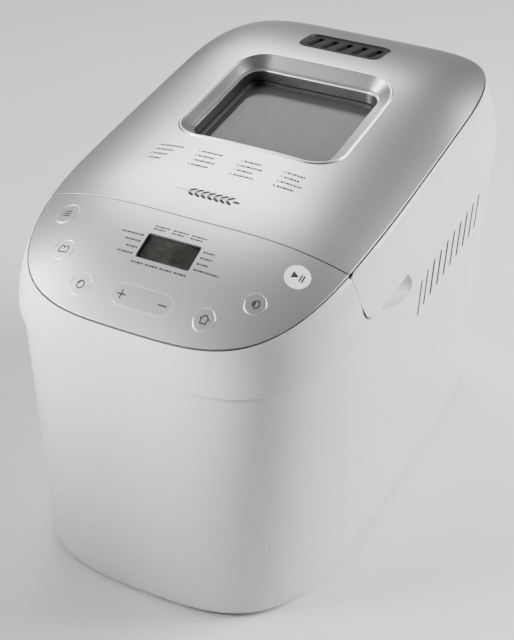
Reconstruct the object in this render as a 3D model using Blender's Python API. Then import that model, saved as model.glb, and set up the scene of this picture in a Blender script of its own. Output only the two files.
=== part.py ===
"""Bread machine with a hinged lid, a lift-out pan, two kneading paddles and a belt drive.

Metres, +Z up, the control panel faces -Y. The origin is on the surface that the machine stands on,
under the middle of its box.
"""

import math

import bmesh
import bpy
import numpy as np
from mathutils import Matrix, Vector

# Driving dimensions of the casing
RIM_HALF = 0.1245          # half width of the silver top at its rim
FRONT = -0.2120            # front of the rim
MIDDLE = 0.0911            # where the front curve of the rim meets its rear curve
RIM_REAR = 0.2003          # rear of the rim
FRONT_POWERS = (3.48, 5.68)
REAR_POWERS = (6.0, 2.3)
BAND_OFFSET = 0.0126       # how far the white band swells outside the rim
FRONT_SHARE = 0.05         # share of that swelling at the very front
CROWN = 0.0208             # rise of the top above its rim
CROWN_POWER = 0.8
CROWN_BLEND = 0.060        # half length over which the front curve's power turns into the rear one's
RIM_HEIGHT = 0.2822        # rim height at y = 0
RIM_SLOPE = 0.1016
PART_HEIGHT = 0.2266       # parting line between front housing and lower body at y = 0
PART_SLOPE = 0.044
FRONT_DROOP = 0.974
FRONT_DROOP_FROM = -0.0756
REAR_DROOP = 0.49
REAR_DROOP_FROM = 0.096
WALL = 0.0025
GAP = 0.0003               # clearance between touching pieces

# Seam between the lid and the control panel
SEAM_END = -0.1173
SEAM_BOW = 0.0056
SEAM_LEAN = 0.06
SEAM_GAP = 0.0004

# Lower body
BASE_HALF = 0.1258
BASE_FRONT = -0.2118
BASE_REAR = 0.2080
BASE_POWERS = ((3.04, 5.85), (5.0, 3.0))
SHOULDER_HALF = 0.1352
SHOULDER_FRONT = -0.2108
SHOULDER_REAR = 0.2100
SHOULDER_POWERS = ((3.4, 5.7), (5.4, 2.7))
SHOULDER_HEIGHT = 0.226
BODY_BOTTOM = 0.0025
EAR_START = -0.1132        # the body's edge steps up behind the front housing
EAR_END = -0.1075
REAR_RELIEF = 0.0060       # room for the lid's rear edge as it turns
SKIRT_FRONT = 0.2328       # lower edge of the lid at the front of the finger scoops
SKIRT_FRONT_Y = -0.0980
SKIRT_REAR = 0.2438        # lower edge of the lid further back
SKIRT_RISE = 0.0615
TONGUE_Y = -0.1015         # the lid's side ends in a round tongue in front of this
TONGUE_REACH = 0.0140
TONGUE_RISE = 0.0085

# Lid
HINGE_Y = 0.2040
HINGE_Z = 0.2475
HINGE_X = 0.050
PLATE = 0.0012
RECESS = 0.0022
WINDOW_HALF = 0.0675
WINDOW_FRONT = -0.0345
WINDOW_REAR = 0.0940
WINDOW_RADIUS = 0.018
BEVEL_DROP = 0.0085        # foot of the bezel's slope, below the plane of the window's edge
SLEEVE_DROP = 0.0150       # foot of the bezel's upright sleeve
SEAL_DROP = 0.0153
SEAL_THICKNESS = 0.0017
PANE_DROP = 0.0173
PANE_THICKNESS = 0.0030
LINER_RISE = 0.2755        # height of the liner's raised middle at the chamber's centre
LINER_SLOPE = 0.045
LINER_EDGE = 0.2500

# Baking chamber, pan and drive
CHAMBER_Y = 0.035
CHAMBER_HALF = (0.095, 0.135)
CHAMBER_RADIUS = 0.022
CHAMBER_FLOOR = 0.0550
DECK_TOP = 0.2370
SHEET = 0.0008
PAN_BOTTOM = 0.0720
PAN_TOP = 0.1900
HANDLE_Z = 0.1945
HANDLE_ARM = 0.0670
SHAFT_Y = (CHAMBER_Y - 0.055, CHAMBER_Y + 0.055)
MOTOR_Y = -0.152
CHASSIS_TOP = 0.0475
MOTOR_PULLEY = 0.0110
LARGE_PULLEY = 0.0450
SHAFT_PULLEY = 0.0220
ELEMENT_Z = 0.0760
SENSOR = (-0.050, CHAMBER_Y - CHAMBER_HALF[1] - 0.006, 0.120)
INLET = (0.040, 0.2080, 0.036)

# Controls: name, x, y, kind
PILL_HALF = (0.0218, 0.0068)   # half size of the pill that the plus and minus keys share
PILL_SPLIT = 0.0003            # each key's distance from the middle of the pill
PILL_KEY_X = 0.0110
PILL_Y = -0.1904
KEY_RADII = {"large": 0.0092, "small": 0.0081}
KEYS = (
    ("menu_key", -0.0910, -0.1394, "large"),
    ("loaf_size_key", -0.0750, -0.1699, "small"),
    ("dough_key", -0.0479, -0.1908, "small"),
    ("plus_key", -PILL_KEY_X, PILL_Y, "pill_left"),
    ("minus_key", PILL_KEY_X, PILL_Y, "pill_right"),
    ("home_key", 0.0479, -0.1908, "small"),
    ("colour_key", 0.0750, -0.1699, "small"),
    ("start_key", 0.0910, -0.1394, "large"),
)
KEY_SIDES = 16
KEY_PROUD = 0.0006
KEY_FLANGE = 0.0010
FLANGE_LOW = -0.0076
FLANGE_HIGH = -0.0064
KEY_FOOT = -0.0105         # lower end of a key's stem below the panel
KEY_TRAVEL = 0.0008
SWITCH_GAP = 0.0009        # the switches lie flat on the tilted board, so their corners need room
PANEL_CENTRE_Y = -0.165
DISPLAY_HALF = 0.0209
DISPLAY_FRONT = -0.1634
DISPLAY_REAR = -0.1432
BOARD_DROP = 0.0300        # control board below the panel at the display
BOARD_TILT = math.radians(14)

# Points along the outlines, and where the rings of the crowned top lie between edge and middle
SEAM_COUNT = 5
SIDE_COUNT = 17
FRONT_COUNT = 14
BODY_COUNT = 26
DECK_COUNTS = (6, 24)
PANEL_RINGS = (0.92, 0.75, 0.42, 0.08)
LID_RINGS = (0.0, 0.12, 0.4, 0.7, 1.0)


def clear_scene():
    for item in list(bpy.data.objects):
        bpy.data.objects.remove(item)


def material(name, colour, roughness, metallic=0.0, alpha=1.0):
    made = bpy.data.materials.new(name)
    made.use_nodes = True
    shader = made.node_tree.nodes["Principled BSDF"]
    shader.inputs["Base Color"].default_value = (*colour, 1.0)
    shader.inputs["Roughness"].default_value = roughness
    shader.inputs["Metallic"].default_value = metallic
    shader.inputs["Alpha"].default_value = alpha
    made.diffuse_color = (*colour, alpha)
    return made


def finish_object(name, mesh, made, smooth_angle=35):
    mesh.materials.append(made)
    mesh.shade_smooth()
    mesh.set_sharp_from_angle(angle=math.radians(smooth_angle))
    item = bpy.data.objects.new(name, mesh)
    bpy.context.scene.collection.objects.link(item)
    return item


def loft(name, rings, made, joined=False, curved=False):
    """A closed solid through rings of equal length: capped at both ends, or joined end to start.

    Curved pieces that lie close over each other get the same diagonals, so they stay apart.
    """
    shape = bmesh.new()
    rows = [[shape.verts.new(point) for point in ring] for ring in rings]
    count = len(rows[0])
    pairs = list(zip(rows, rows[1:]))
    if joined:
        pairs.append((rows[-1], rows[0]))
    for low, high in pairs:
        for i in range(count):
            j = (i + 1) % count
            shape.faces.new((low[i], low[j], high[j], high[i]))
    if not joined:
        shape.faces.new(rows[0][::-1])
        shape.faces.new(rows[-1])
    bmesh.ops.recalc_face_normals(shape, faces=shape.faces)
    if curved:
        sides = [face for face in shape.faces if len(face.verts) == 4]
        bmesh.ops.triangulate(shape, faces=sides, quad_method="SHORT_EDGE")
    mesh = bpy.data.meshes.new(name)
    shape.to_mesh(mesh)
    shape.free()
    return finish_object(name, mesh, made)


def circle(radius, height, centre=(0.0, 0.0), count=16):
    angles = [2 * math.pi * i / count for i in range(count)]
    return [
        (centre[0] + radius * math.cos(a), centre[1] + radius * math.sin(a), height) for a in angles
    ]


def turned(name, profile, made, centre=(0.0, 0.0), bored=False, count=16):
    """A turned solid about a vertical axis; profile is (radius, height) pairs."""
    rings = [circle(radius, height, centre, count) for radius, height in profile]
    return loft(name, rings, made, joined=bored)


def rounded_rectangle(half_x, half_y, radius, centre=(0.0, 0.0), steps=4):
    points = []
    for corner in range(4):
        sign_x, sign_y = ((1, -1), (1, 1), (-1, 1), (-1, -1))[corner]
        for step in range(steps + 1):
            angle = math.radians(-90 + 90 * corner + 90 * step / steps)
            points.append((
                centre[0] + sign_x * (half_x - radius) + radius * math.cos(angle),
                centre[1] + sign_y * (half_y - radius) + radius * math.sin(angle),
            ))
    return points


def at_height(points, height):
    return [(x, y, height) for x, y in points]


def box(name, low, high, made):
    corners = [(low[0], low[1]), (high[0], low[1]), (high[0], high[1]), (low[0], high[1])]
    return loft(name, [at_height(corners, low[2]), at_height(corners, high[2])], made)


def mark_as_tool(item):
    item.hide_render = True
    item.display_type = "WIRE"


def boolean(target, tool, operation):
    mark_as_tool(tool)
    step = target.modifiers.new(operation.lower(), "BOOLEAN")
    step.operation = operation
    step.solver = "EXACT"
    step.object = tool


def cut(target, tool):
    boolean(target, tool, "DIFFERENCE")


def add(target, tool):
    boolean(target, tool, "UNION")


def join(name, items):
    """One tool object that holds several separate bodies."""
    shape = bmesh.new()
    for item in items:
        start = len(shape.verts)
        shape.from_mesh(item.data)
        shape.verts.ensure_lookup_table()
        for vertex in shape.verts[start:]:
            vertex.co = item.matrix_basis @ vertex.co
        bpy.data.objects.remove(item)
    mesh = bpy.data.meshes.new(name)
    shape.to_mesh(mesh)
    shape.free()
    return finish_object(name, mesh, PLAIN)


# Curved top of the machine

def rim_height(y):
    front = np.maximum(0.0, FRONT_DROOP_FROM - y)
    rear = np.maximum(0.0, y - REAR_DROOP_FROM)
    return RIM_HEIGHT + RIM_SLOPE * y - FRONT_DROOP * front ** 2 - REAR_DROOP * rear ** 2


def part_height(y):
    front = np.maximum(0.0, FRONT_DROOP_FROM - y)
    return PART_HEIGHT + PART_SLOPE * y - 0.6 * FRONT_DROOP * front ** 2


def top_height(x, y):
    """Height of the crowned silver top."""
    share = np.clip((y - MIDDLE + CROWN_BLEND) / (2 * CROWN_BLEND), 0.0, 1.0)
    share = share * share * (3.0 - 2.0 * share)
    power = FRONT_POWERS[0] + (REAR_POWERS[0] - FRONT_POWERS[0]) * share
    ahead = (np.maximum(0.0, MIDDLE - y) / (MIDDLE - FRONT)) ** FRONT_POWERS[1]
    behind = (np.maximum(0.0, y - MIDDLE) / (RIM_REAR - MIDDLE)) ** REAR_POWERS[1]
    reach = np.clip((np.abs(x) / RIM_HALF) ** power + ahead + behind, 0.0, 1.0)
    return rim_height(y) + CROWN * (1.0 - reach ** CROWN_POWER)


def top_normal(x, y):
    step = 0.0005
    slope_x = (top_height(x + step, y) - top_height(x - step, y)) / (2 * step)
    slope_y = (top_height(x, y + step) - top_height(x, y - step)) / (2 * step)
    return Vector((-slope_x, -slope_y, 1.0)).normalized()


def skirt_height(y):
    """Lower edge of the lid: it rises gently to the vents, and round the tongue to the seam."""
    ahead = np.clip((TONGUE_Y - y) / TONGUE_REACH, 0.0, 1.0)
    edge = np.minimum(SKIRT_REAR, SKIRT_FRONT + SKIRT_RISE * (y - SKIRT_FRONT_Y))
    return edge + TONGUE_RISE * (1.0 - np.sqrt(1.0 - ahead ** 2))


def half_curve(half, front, middle, rear, front_powers, rear_powers):
    """Dense right half of a plan outline, from the front centre to the rear centre."""
    turn = np.linspace(0.0, math.pi / 2, 200)
    sine, cosine = np.sin(turn), np.cos(turn)
    cosine[-1] = 0.0
    front_x = half * sine ** (2 / front_powers[0])
    front_y = middle - (middle - front) * cosine ** (2 / front_powers[1])
    rear_x = half * cosine ** (2 / rear_powers[0])
    rear_y = middle + (rear - middle) * sine ** (2 / rear_powers[1])
    return np.stack([np.r_[front_x, rear_x[1:]], np.r_[front_y, rear_y[1:]]], axis=1)


def resample(points, count):
    """The same curve through count + 1 evenly spaced points."""
    points = np.asarray(points)
    steps = np.hypot(*np.diff(points, axis=0).T)
    length = np.r_[0.0, np.cumsum(steps)]
    wanted = np.linspace(0.0, length[-1], count + 1)
    return np.stack([np.interp(wanted, length, points[:, i]) for i in (0, 1)], axis=1)


def mirrored(half):
    """A closed ring from its right half, whose first and last points are at x = 0."""
    left = half[-2:0:-1] * np.array([-1.0, 1.0, 1.0])
    return [tuple(map(float, point)) for point in np.concatenate([half, left])]


def band_curve(offset):
    return half_curve(
        RIM_HALF + offset, FRONT - FRONT_SHARE * offset, MIDDLE, RIM_REAR + offset,
        FRONT_POWERS, REAR_POWERS,
    )


def band_offset(y, z):
    """Outward swelling of the white band at height z."""
    depth = (rim_height(y) - z) / (rim_height(y) - part_height(y))
    return BAND_OFFSET * np.sin(math.pi / 2 * np.clip(depth, 0.0, 1.0))


def split_at_seam(curve, z, gap):
    """The seam's end on a plan curve at height z, and the curve in front of it and behind it.

    The seam's plane leans back towards its foot, so the lid leaves it without rubbing.
    """
    y_end = SEAM_END + SEAM_LEAN * (float(rim_height(SEAM_END)) - z) + gap
    side = curve[: len(curve) // 2 + 1]
    x_end = float(np.interp(y_end, side[:, 1], side[:, 0]))
    end = np.array([[x_end, y_end]])
    ahead = curve[curve[:, 1] < y_end]
    behind = curve[curve[:, 1] > y_end]
    return x_end, np.r_[ahead, end], np.r_[end, behind]


def seam_points(x_end, z, gap):
    """Seam from the centre to its right end; z is a height, or None for the top surface."""
    x = np.linspace(0.0, x_end, SEAM_COUNT + 1)
    top = SEAM_END - SEAM_BOW * (1 - (x / x_end) ** 2)
    lean = 0.0 if z is None else SEAM_LEAN * (top_height(x, top) - z)
    return np.stack([x, top + lean + gap], axis=1)


def lid_half(offset, z, inset=0.0):
    """Right half of the lid's outline at a height: seam first, then side and rear."""
    level = float(rim_height(SEAM_END)) if z is None else z
    x_end, _, behind = split_at_seam(band_curve(offset), level, SEAM_GAP + inset)
    seam = seam_points(x_end, z, SEAM_GAP + inset)
    seam[-1] = behind[0]
    return np.r_[seam, resample(behind, SIDE_COUNT)[1:]]


def front_half(offset, z, inset=0.0):
    """Right half of the front housing's outline: front and side first, then the seam."""
    level = float(rim_height(SEAM_END)) if z is None else z
    x_end, ahead, _ = split_at_seam(band_curve(offset), level, -SEAM_GAP - inset)
    seam = seam_points(x_end, z, -SEAM_GAP - inset)
    seam[-1] = ahead[-1]
    return np.r_[resample(ahead, FRONT_COUNT), seam[::-1][1:]]


def window_half(grow=0.0):
    """Right half of the window opening, with the same number of points as the lid's outline."""
    half, radius = WINDOW_HALF + grow, WINDOW_RADIUS + grow
    low, high = WINDOW_FRONT - grow, WINDOW_REAR + grow
    arc = np.radians(np.linspace(0, 90, 9))
    front_arc = [(half - radius + radius * math.sin(a), low + radius - radius * math.cos(a))
                 for a in arc]
    rear_arc = [(half - radius + radius * math.cos(a), high - radius + radius * math.sin(a))
                for a in arc]
    first = np.array([(0.0, low), *front_arc[:5]])
    second = np.array([*front_arc[4:], *rear_arc, (0.0, high)])
    return np.r_[resample(first, SEAM_COUNT), resample(second, SIDE_COUNT)[1:]]


def with_height(half, height):
    z = height(half[:, 0], half[:, 1]) if callable(height) else np.full(len(half), height)
    return np.c_[half, z]


def between(first, second, share):
    return first + (second - first) * share


def below_top(drop):
    return lambda x, y: top_height(x, y) - drop


def band_rings(outline, bottom, seam_part, shares, inset=0.0):
    """Rings up the white band from its lower edge to just under the rim.

    outline(offset, z, inset) gives the plan, bottom(y) the lower edge, seam_part the slice of
    the half outline that lies on the seam.
    """
    rings = []
    for share in shares:
        level = float(bottom(np.array(SEAM_END)))
        top = float(rim_height(SEAM_END))
        z_seam = level + (top - level) * share
        plan = outline(0.0, z_seam, inset)
        low = bottom(plan[:, 1])
        z = low + (rim_height(plan[:, 1]) - low) * share
        offsets = band_offset(plan[:, 1], z)
        wide = outline(BAND_OFFSET, z_seam, inset)
        plan = plan + (wide - plan) * (offsets / BAND_OFFSET)[:, None]
        z[seam_part] = z_seam
        rings.append(np.c_[plan, z])
    return rings


def draw_inwards(half, distance, middle_y):
    """Moves the points of a half outline towards a centre line by a distance."""
    centre = np.array([0.0, middle_y])
    away = half[:, :2] - centre
    length = np.maximum(np.hypot(away[:, 0], away[:, 1]), 1e-6)
    moved = half.copy()
    moved[:, :2] = half[:, :2] - away / length[:, None] * distance
    moved[0, 0] = 0.0
    moved[-1, 0] = 0.0
    return moved


# Casing

def body_rings(levels, inset, top_gap=0.0008):
    """Rings of the lower body; levels run from 0 at the bottom edge to 1 at the top edge."""
    base = body_points(half_curve(BASE_HALF - inset, BASE_FRONT + inset, 0.08, BASE_REAR - inset,
                                  *BASE_POWERS))
    shoulder = body_points(half_curve(SHOULDER_HALF - inset, SHOULDER_FRONT + inset, 0.085,
                                      SHOULDER_REAR - inset, *SHOULDER_POWERS))
    rings = []
    for level in levels:
        top = body_top(shoulder[:, 1]) - top_gap
        z = BODY_BOTTOM + (top - BODY_BOTTOM) * level
        share = np.clip(z / SHOULDER_HEIGHT, 0.0, 1.0)[:, None]
        rings.append(np.c_[base + (shoulder - base) * share, z])
    return rings


def body_points(curve):
    """Even points along a body outline, with one short step where its upper edge rises."""
    side = curve[: len(curve) // 2 + 1]
    ends = [[np.interp(y, side[:, 1], side[:, 0]), y] for y in (EAR_START, EAR_END)]
    front = np.r_[curve[curve[:, 1] < EAR_START], [ends[0]]]
    rear = np.r_[[ends[1]], curve[curve[:, 1] > EAR_END]]
    return np.r_[resample(front, 11), resample(rear, BODY_COUNT - 12)]


def body_top(y):
    """Upper edge of the lower body: parting line at the front, lid skirt behind the scoops."""
    ear = np.clip((y - EAR_START) / (EAR_END - EAR_START), 0.0, 1.0)
    rear = np.clip((y - 0.165) / 0.025, 0.0, 1.0)
    skirt = skirt_height(y) - REAR_RELIEF * rear
    return part_height(y) + (skirt - part_height(y)) * ear


def lower_body():
    bottom = body_rings([0.0], 0.0030)
    outer = bottom + body_rings([0.02, 0.5, 1.0], 0.0)
    inner = body_rings([1.0, 0.5, 0.0], WALL)
    inner[-1] = body_rings([0.0], WALL + 0.0015)[0]
    body = loft("lower_body", [mirrored(ring) for ring in outer + inner], WHITE, joined=True)
    for side in (-1, 1):
        middle = side * 0.1240
        low, high = (middle - 0.0060, -0.1060, 0.2110), (middle + 0.0060, -0.0360, 0.2374)
        add(body, box("scoop_block", low, high, PLAIN))
    cut(body, join("scoop_cutter", [scoop(side) for side in (-1, 1)]))
    slots = [vent_slot(side, i) for side in (-1, 1) for i in range(10)]
    cut(body, join("vent_cutter", slots))
    inlet = turned("inlet_hole", [(0.0083, -0.01), (0.0083, 0.01)], PLAIN)
    inlet.data.transform(Matrix.Translation((INLET[0], INLET[1], INLET[2])) @ Matrix.Rotation(
        math.pi / 2, 4, "X"))
    cut(body, inlet)
    return body


def scoop(side):
    """Shallow dish under the lid's ear for the fingertips."""
    shape = bmesh.new()
    bmesh.ops.create_uvsphere(shape, u_segments=20, v_segments=12, radius=1.0)
    bmesh.ops.scale(shape, vec=(0.0150, 0.0295, 0.0225), verts=shape.verts)
    bmesh.ops.translate(shape, vec=(side * 0.1395, -0.0710, 0.2395), verts=shape.verts)
    mesh = bpy.data.meshes.new("scoop")
    shape.to_mesh(mesh)
    shape.free()
    return finish_object("scoop", mesh, PLAIN)


def vent_slot(side, index):
    """One upright cooling slot with round ends."""
    y = -0.0113 + 0.01403 * index
    bottom = 0.1768 + 0.0011 * index
    top = bottom + 0.0330
    radius = 0.0012
    points = []
    for centre, start in ((top - radius, 0), (bottom + radius, 180)):
        for step in range(4):
            angle = math.radians(start + 60 * step)
            points.append((y + radius * math.cos(angle), centre + radius * math.sin(angle)))
    rings = [[(side * x, py, pz) for py, pz in points] for x in (0.120, 0.145)]
    return loft("vent_slot", rings, PLAIN)


def housing_foot(y):
    return part_height(y) + GAP


def front_housing():
    seam_part = slice(FRONT_COUNT, None)
    outer = band_rings(front_half, housing_foot, seam_part, (0.0, 0.45, 0.8))
    rim = with_height(front_half(0.0, None), lambda x, y: rim_height(y))
    rim[seam_part, 2] = top_height(rim[seam_part, 0], rim[seam_part, 1]) - RECESS
    lip = with_height(front_half(-0.0006, None), below_top(RECESS))
    plans = [panel_ring(front_half(-0.0006, None), share) for share in PANEL_RINGS]
    top = [with_height(plan, below_top(RECESS)) for plan in plans]
    under_drop = RECESS + 0.0020
    under = [with_height(plan, below_top(under_drop)) for plan in plans[::-1]]
    inner_rim = with_height(front_half(-0.0030, None, inset=WALL), below_top(under_drop + 0.002))
    inner = band_rings(front_half, housing_foot, seam_part, (0.45, 0.0))
    inner = [draw_inwards(ring, WALL, PANEL_CENTRE_Y) for ring in inner]
    rings = under + [inner_rim] + inner + outer + [rim, lip] + top
    housing = loft("front_housing", [mirrored(ring) for ring in rings], WHITE, curved=True)
    cut(housing, key_holes("housing_key_holes"))
    cut(housing, display_hole("housing_display_hole", 0.0003))
    return housing


def panel_ring(plan, share):
    """A plan outline drawn in towards the centre of the control panel."""
    centre = np.array([0.0, PANEL_CENTRE_Y])
    return centre + (plan - centre) * share


def key_holes(name):
    """Tools for a hole round each round key and one round the pill."""
    tools = [key_tool(x, y, key_outline(kind, GAP)) for _, x, y, kind in KEYS if kind in KEY_RADII]
    right = pill_end(GAP)
    tools.append(key_tool(0.0, PILL_Y, right + [(-x, -y) for x, y in right]))
    return join(name, tools)


def key_frame(x, y):
    """Placement of a key: its top centre on the panel, its axis along the panel's normal."""
    normal = top_normal(x, y)
    turn = Vector((0, 0, 1)).rotation_difference(normal).to_matrix().to_4x4()
    return Matrix.Translation((x, y, float(top_height(x, y)))) @ turn


def pill_end(grow):
    """Round right end of the pill that the plus and minus keys share, round the pill's centre."""
    radius = PILL_HALF[1] + grow
    angles = np.radians(np.linspace(-90, 90, 7))
    return [(PILL_HALF[0] - PILL_HALF[1] + radius * math.cos(a), radius * math.sin(a)) for a in angles]


def key_outline(kind, grow=0.0):
    """Outline of a key's cap round its centre: a circle, or one half of the pill."""
    if kind in KEY_RADII:
        return [(x, y) for x, y, _ in circle(KEY_RADII[kind] + grow, 0.0, count=KEY_SIDES)]
    side = -1 if kind == "pill_left" else 1
    half_y = PILL_HALF[1] + grow
    flat = PILL_SPLIT - PILL_KEY_X
    end = [(x - PILL_KEY_X, y) for x, y in pill_end(grow)]
    outline = [(side * x, y) for x, y in [(flat, -half_y), *end, (flat, half_y)]]
    return outline[::side]


def key_tool(x, y, outline):
    tool = loft("key_hole", [at_height(outline, -0.0095), at_height(outline, 0.004)], PLAIN)
    tool.matrix_basis = key_frame(x, y)
    return tool


def display_hole(name, grow):
    centre_y = (DISPLAY_FRONT + DISPLAY_REAR) / 2
    half_y = (DISPLAY_REAR - DISPLAY_FRONT) / 2
    outline = rounded_rectangle(DISPLAY_HALF + grow, half_y + grow, 0.0015 + grow, (0.0, centre_y), 2)
    return loft(name, [at_height(outline, 0.240), at_height(outline, 0.300)], PLAIN)


def control_fascia():
    edge = front_half(-0.0009, None)
    seam_part = slice(FRONT_COUNT, None)
    edge[seam_part] = front_half(0.0, None)[seam_part]
    edge[seam_part.start, 0] -= 0.0012
    plans = [panel_ring(edge, share) for share in (1.0, *PANEL_RINGS)]
    top = [with_height(plan, top_height) for plan in plans]
    under = [with_height(plan, below_top(PLATE)) for plan in plans[::-1]]
    fascia = loft("control_fascia", [mirrored(ring) for ring in under + top], SILVER, curved=True)
    cut(fascia, key_holes("fascia_key_holes"))
    cut(fascia, display_hole("fascia_display_hole", GAP))
    return fascia


def display_slab(name, drop, thickness, grow, made):
    """A pane that follows the panel's crown behind the display opening."""
    centre_y = (DISPLAY_FRONT + DISPLAY_REAR) / 2
    half_y = (DISPLAY_REAR - DISPLAY_FRONT) / 2
    outline = rounded_rectangle(DISPLAY_HALF + grow, half_y + grow, 0.0015, (0.0, centre_y), 2)
    middle = float(top_height(0.0, centre_y))
    slope = float(top_height(0.0, centre_y + 0.005) - top_height(0.0, centre_y - 0.005)) / 0.01
    plane = [(x, y, middle + slope * (y - centre_y)) for x, y in outline]
    rings = [[(x, y, z - low) for x, y, z in plane] for low in (drop + thickness, drop)]
    return loft(name, rings, made)


def key(name, x, y, kind, made):
    """A cap with a flange that holds it under the housing, and a stem over its switch."""
    cap, flange = key_outline(kind), key_outline(kind, KEY_FLANGE)
    stem = [(0.25 * px, 0.25 * py) for px, py in cap]
    rings = [
        at_height(stem, KEY_FOOT), at_height(stem, FLANGE_LOW), at_height(flange, FLANGE_LOW),
        at_height(flange, FLANGE_HIGH), at_height(cap, FLANGE_HIGH), at_height(cap, KEY_PROUD),
    ]
    item = loft(name, rings, made)
    item.matrix_basis = key_frame(x, y)
    return item


def control_board():
    """Tilted circuit board with a tactile switch under every key."""
    centre_y = (DISPLAY_FRONT + DISPLAY_REAR) / 2
    origin = Vector((0.0, centre_y, float(top_height(0.0, centre_y)) - BOARD_DROP))
    tilt = Matrix.Translation(origin) @ Matrix.Rotation(BOARD_TILT, 4, "X")
    right = [(0.055, -0.040), (0.085, -0.020), (0.099, 0.004), (0.099, 0.029)]
    outline = right + [(-x, y) for x, y in right[::-1]]
    board = loft("control_board", [at_height(outline, -0.0016), at_height(outline, 0.0)], BOARD)
    board.data.transform(tilt)
    switches = []
    for _, x, y, _ in KEYS:
        frame = key_frame(x, y)
        top = frame @ Vector((0.0, 0.0, KEY_FOOT - KEY_TRAVEL - SWITCH_GAP))
        local = tilt.inverted() @ top
        half = 0.0030
        block = box("switch", (-half, -half, -0.0008), (half, half, local.z), PLAIN)
        block.data.transform(tilt @ Matrix.Translation((local.x, local.y, 0.0)))
        switches.append(block)
    add(board, join("switches", switches))
    return board


# Lid

def lid_frame():
    seam_part = slice(0, SEAM_COUNT + 1)
    outer = band_rings(lid_half, skirt_height, seam_part, (0.0, 0.45, 0.8))
    rim = with_height(lid_half(0.0, None), lambda x, y: rim_height(y))
    rim[seam_part, 2] = top_height(rim[seam_part, 0], rim[seam_part, 1]) - RECESS
    lip_plan = lid_half(-0.0006, None)
    window = window_half(0.0022)
    top = [with_height(between(lip_plan, window, share), below_top(RECESS))
           for share in LID_RINGS]
    under_drop = RECESS + 0.0025
    under = [with_height(between(lip_plan, window, share), below_top(under_drop))
             for share in LID_RINGS[:0:-1]]
    inner_rim = with_height(lid_half(-0.0035, None, inset=WALL), below_top(under_drop + 0.0015))
    inner = band_rings(lid_half, skirt_height, seam_part, (0.45, 0.0))
    inner = [draw_inwards(ring, WALL, 0.04) for ring in inner]
    rings = outer + [rim] + top + under + [inner_rim] + inner
    frame = loft("lid_frame", [mirrored(ring) for ring in rings], WHITE, True, True)
    for side in (-1, 1):
        add(frame, across_x("knuckle", side * (HINGE_X + 0.0145), 0.0055, 0.0042, "block"))
    notches = [box("notch", (side * HINGE_X - 0.0080, 0.1900, 0.2300),
                   (side * HINGE_X + 0.0080, 0.2200, HINGE_Z + 0.0070), PLAIN) for side in (-1, 1)]
    cut(frame, join("hinge_notches", notches))
    bores = [across_x("bore", side * (HINGE_X + 0.0145), 0.0080, 0.0023, "round")
             for side in (-1, 1)]
    cut(frame, join("hinge_bores", bores))
    cut(frame, grille_solid("frame_grille_hole", GAP, 0.27, 0.33))
    return frame


def across_x(name, x, half_length, radius, kind):
    """A pin, bore or knuckle on the lid's hinge axis; a block kind rises up to the lid's top."""
    points = []
    count = 12
    if kind == "round":
        points = [(HINGE_Y + radius * math.cos(2 * math.pi * i / count),
                   HINGE_Z + radius * math.sin(2 * math.pi * i / count)) for i in range(count)]
    else:
        for i in range(count // 2 + 1):
            angle = math.pi + math.pi * i / (count // 2)
            points.append((HINGE_Y + radius * math.cos(angle), HINGE_Z + radius * math.sin(angle)))
        top = HINGE_Z + 0.0075
        points.append((HINGE_Y + radius, top))
        points.append((HINGE_Y - radius, top))
    rings = [[(x + side * half_length, y, z) for y, z in points] for side in (-1, 1)]
    return loft(name, rings, WHITE)


def grille_solid(name, grow, low, high, made=None):
    """The vent grille's plan: wide, with slanting round ends."""
    half_x, half_y, middle = 0.0340 + grow, 0.0120 + grow, 0.1330
    outline = rounded_rectangle(half_x, half_y, 0.0070 + grow, (0.0, middle), 3)
    return loft(name, [at_height(outline, low), at_height(outline, high)], made or PLAIN)


def lid_vent_grille():
    half_x, half_y, middle, radius = 0.0340, 0.0120, 0.1330, 0.0070
    rings = []
    for shrink, drop in ((0.0, 0.0075), (0.0, -0.0003), (0.0012, -0.0009), (0.0030, 0.0006)):
        outline = rounded_rectangle(half_x - shrink, half_y - shrink, radius - shrink,
                                    (0.0, middle), 3)
        rings.append([(x, y, float(top_height(x, y)) - drop) for x, y in outline])
    grille = loft("lid_vent_grille", rings, DARK)
    slots = []
    for i in range(5):
        x = 0.0132 * (i - 2)
        outline = rounded_rectangle(0.0026, 0.0080, 0.0022, (0.0, 0.0), 2)
        slot = loft("grille_slot", [at_height(outline, 0.28), at_height(outline, 0.33)], PLAIN)
        slot.data.transform(Matrix.Translation((x, middle, 0.0)) @ Matrix.Rotation(
            math.radians(-12), 4, "Z"))
        slots.append(slot)
    cut(grille, join("grille_slots", slots))
    return grille


def lid_top_plate():
    seam_part = slice(0, SEAM_COUNT + 1)
    edge = lid_half(-0.0009, None)
    edge[seam_part] = lid_half(0.0, None)[seam_part]
    edge[SEAM_COUNT, 0] -= 0.0014
    window = window_half(0.0018)
    top = [with_height(between(edge, window, share), top_height) for share in LID_RINGS]
    under = [with_height(between(edge, window, share), below_top(PLATE))
             for share in LID_RINGS[::-1]]
    plate = loft("lid_top_plate", [mirrored(ring) for ring in top + under], SILVER, True, True)
    cut(plate, grille_solid("plate_grille_hole", GAP, 0.27, 0.33))
    return plate


def window_plane(drop):
    """The glazing plane under the top of the lid."""
    low = float(top_height(0.0, WINDOW_FRONT))
    high = float(top_height(0.0, WINDOW_REAR))
    slope = (high - low) / (WINDOW_REAR - WINDOW_FRONT)
    return lambda x, y: low + slope * (y - WINDOW_FRONT) - drop + 0.0 * x


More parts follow.
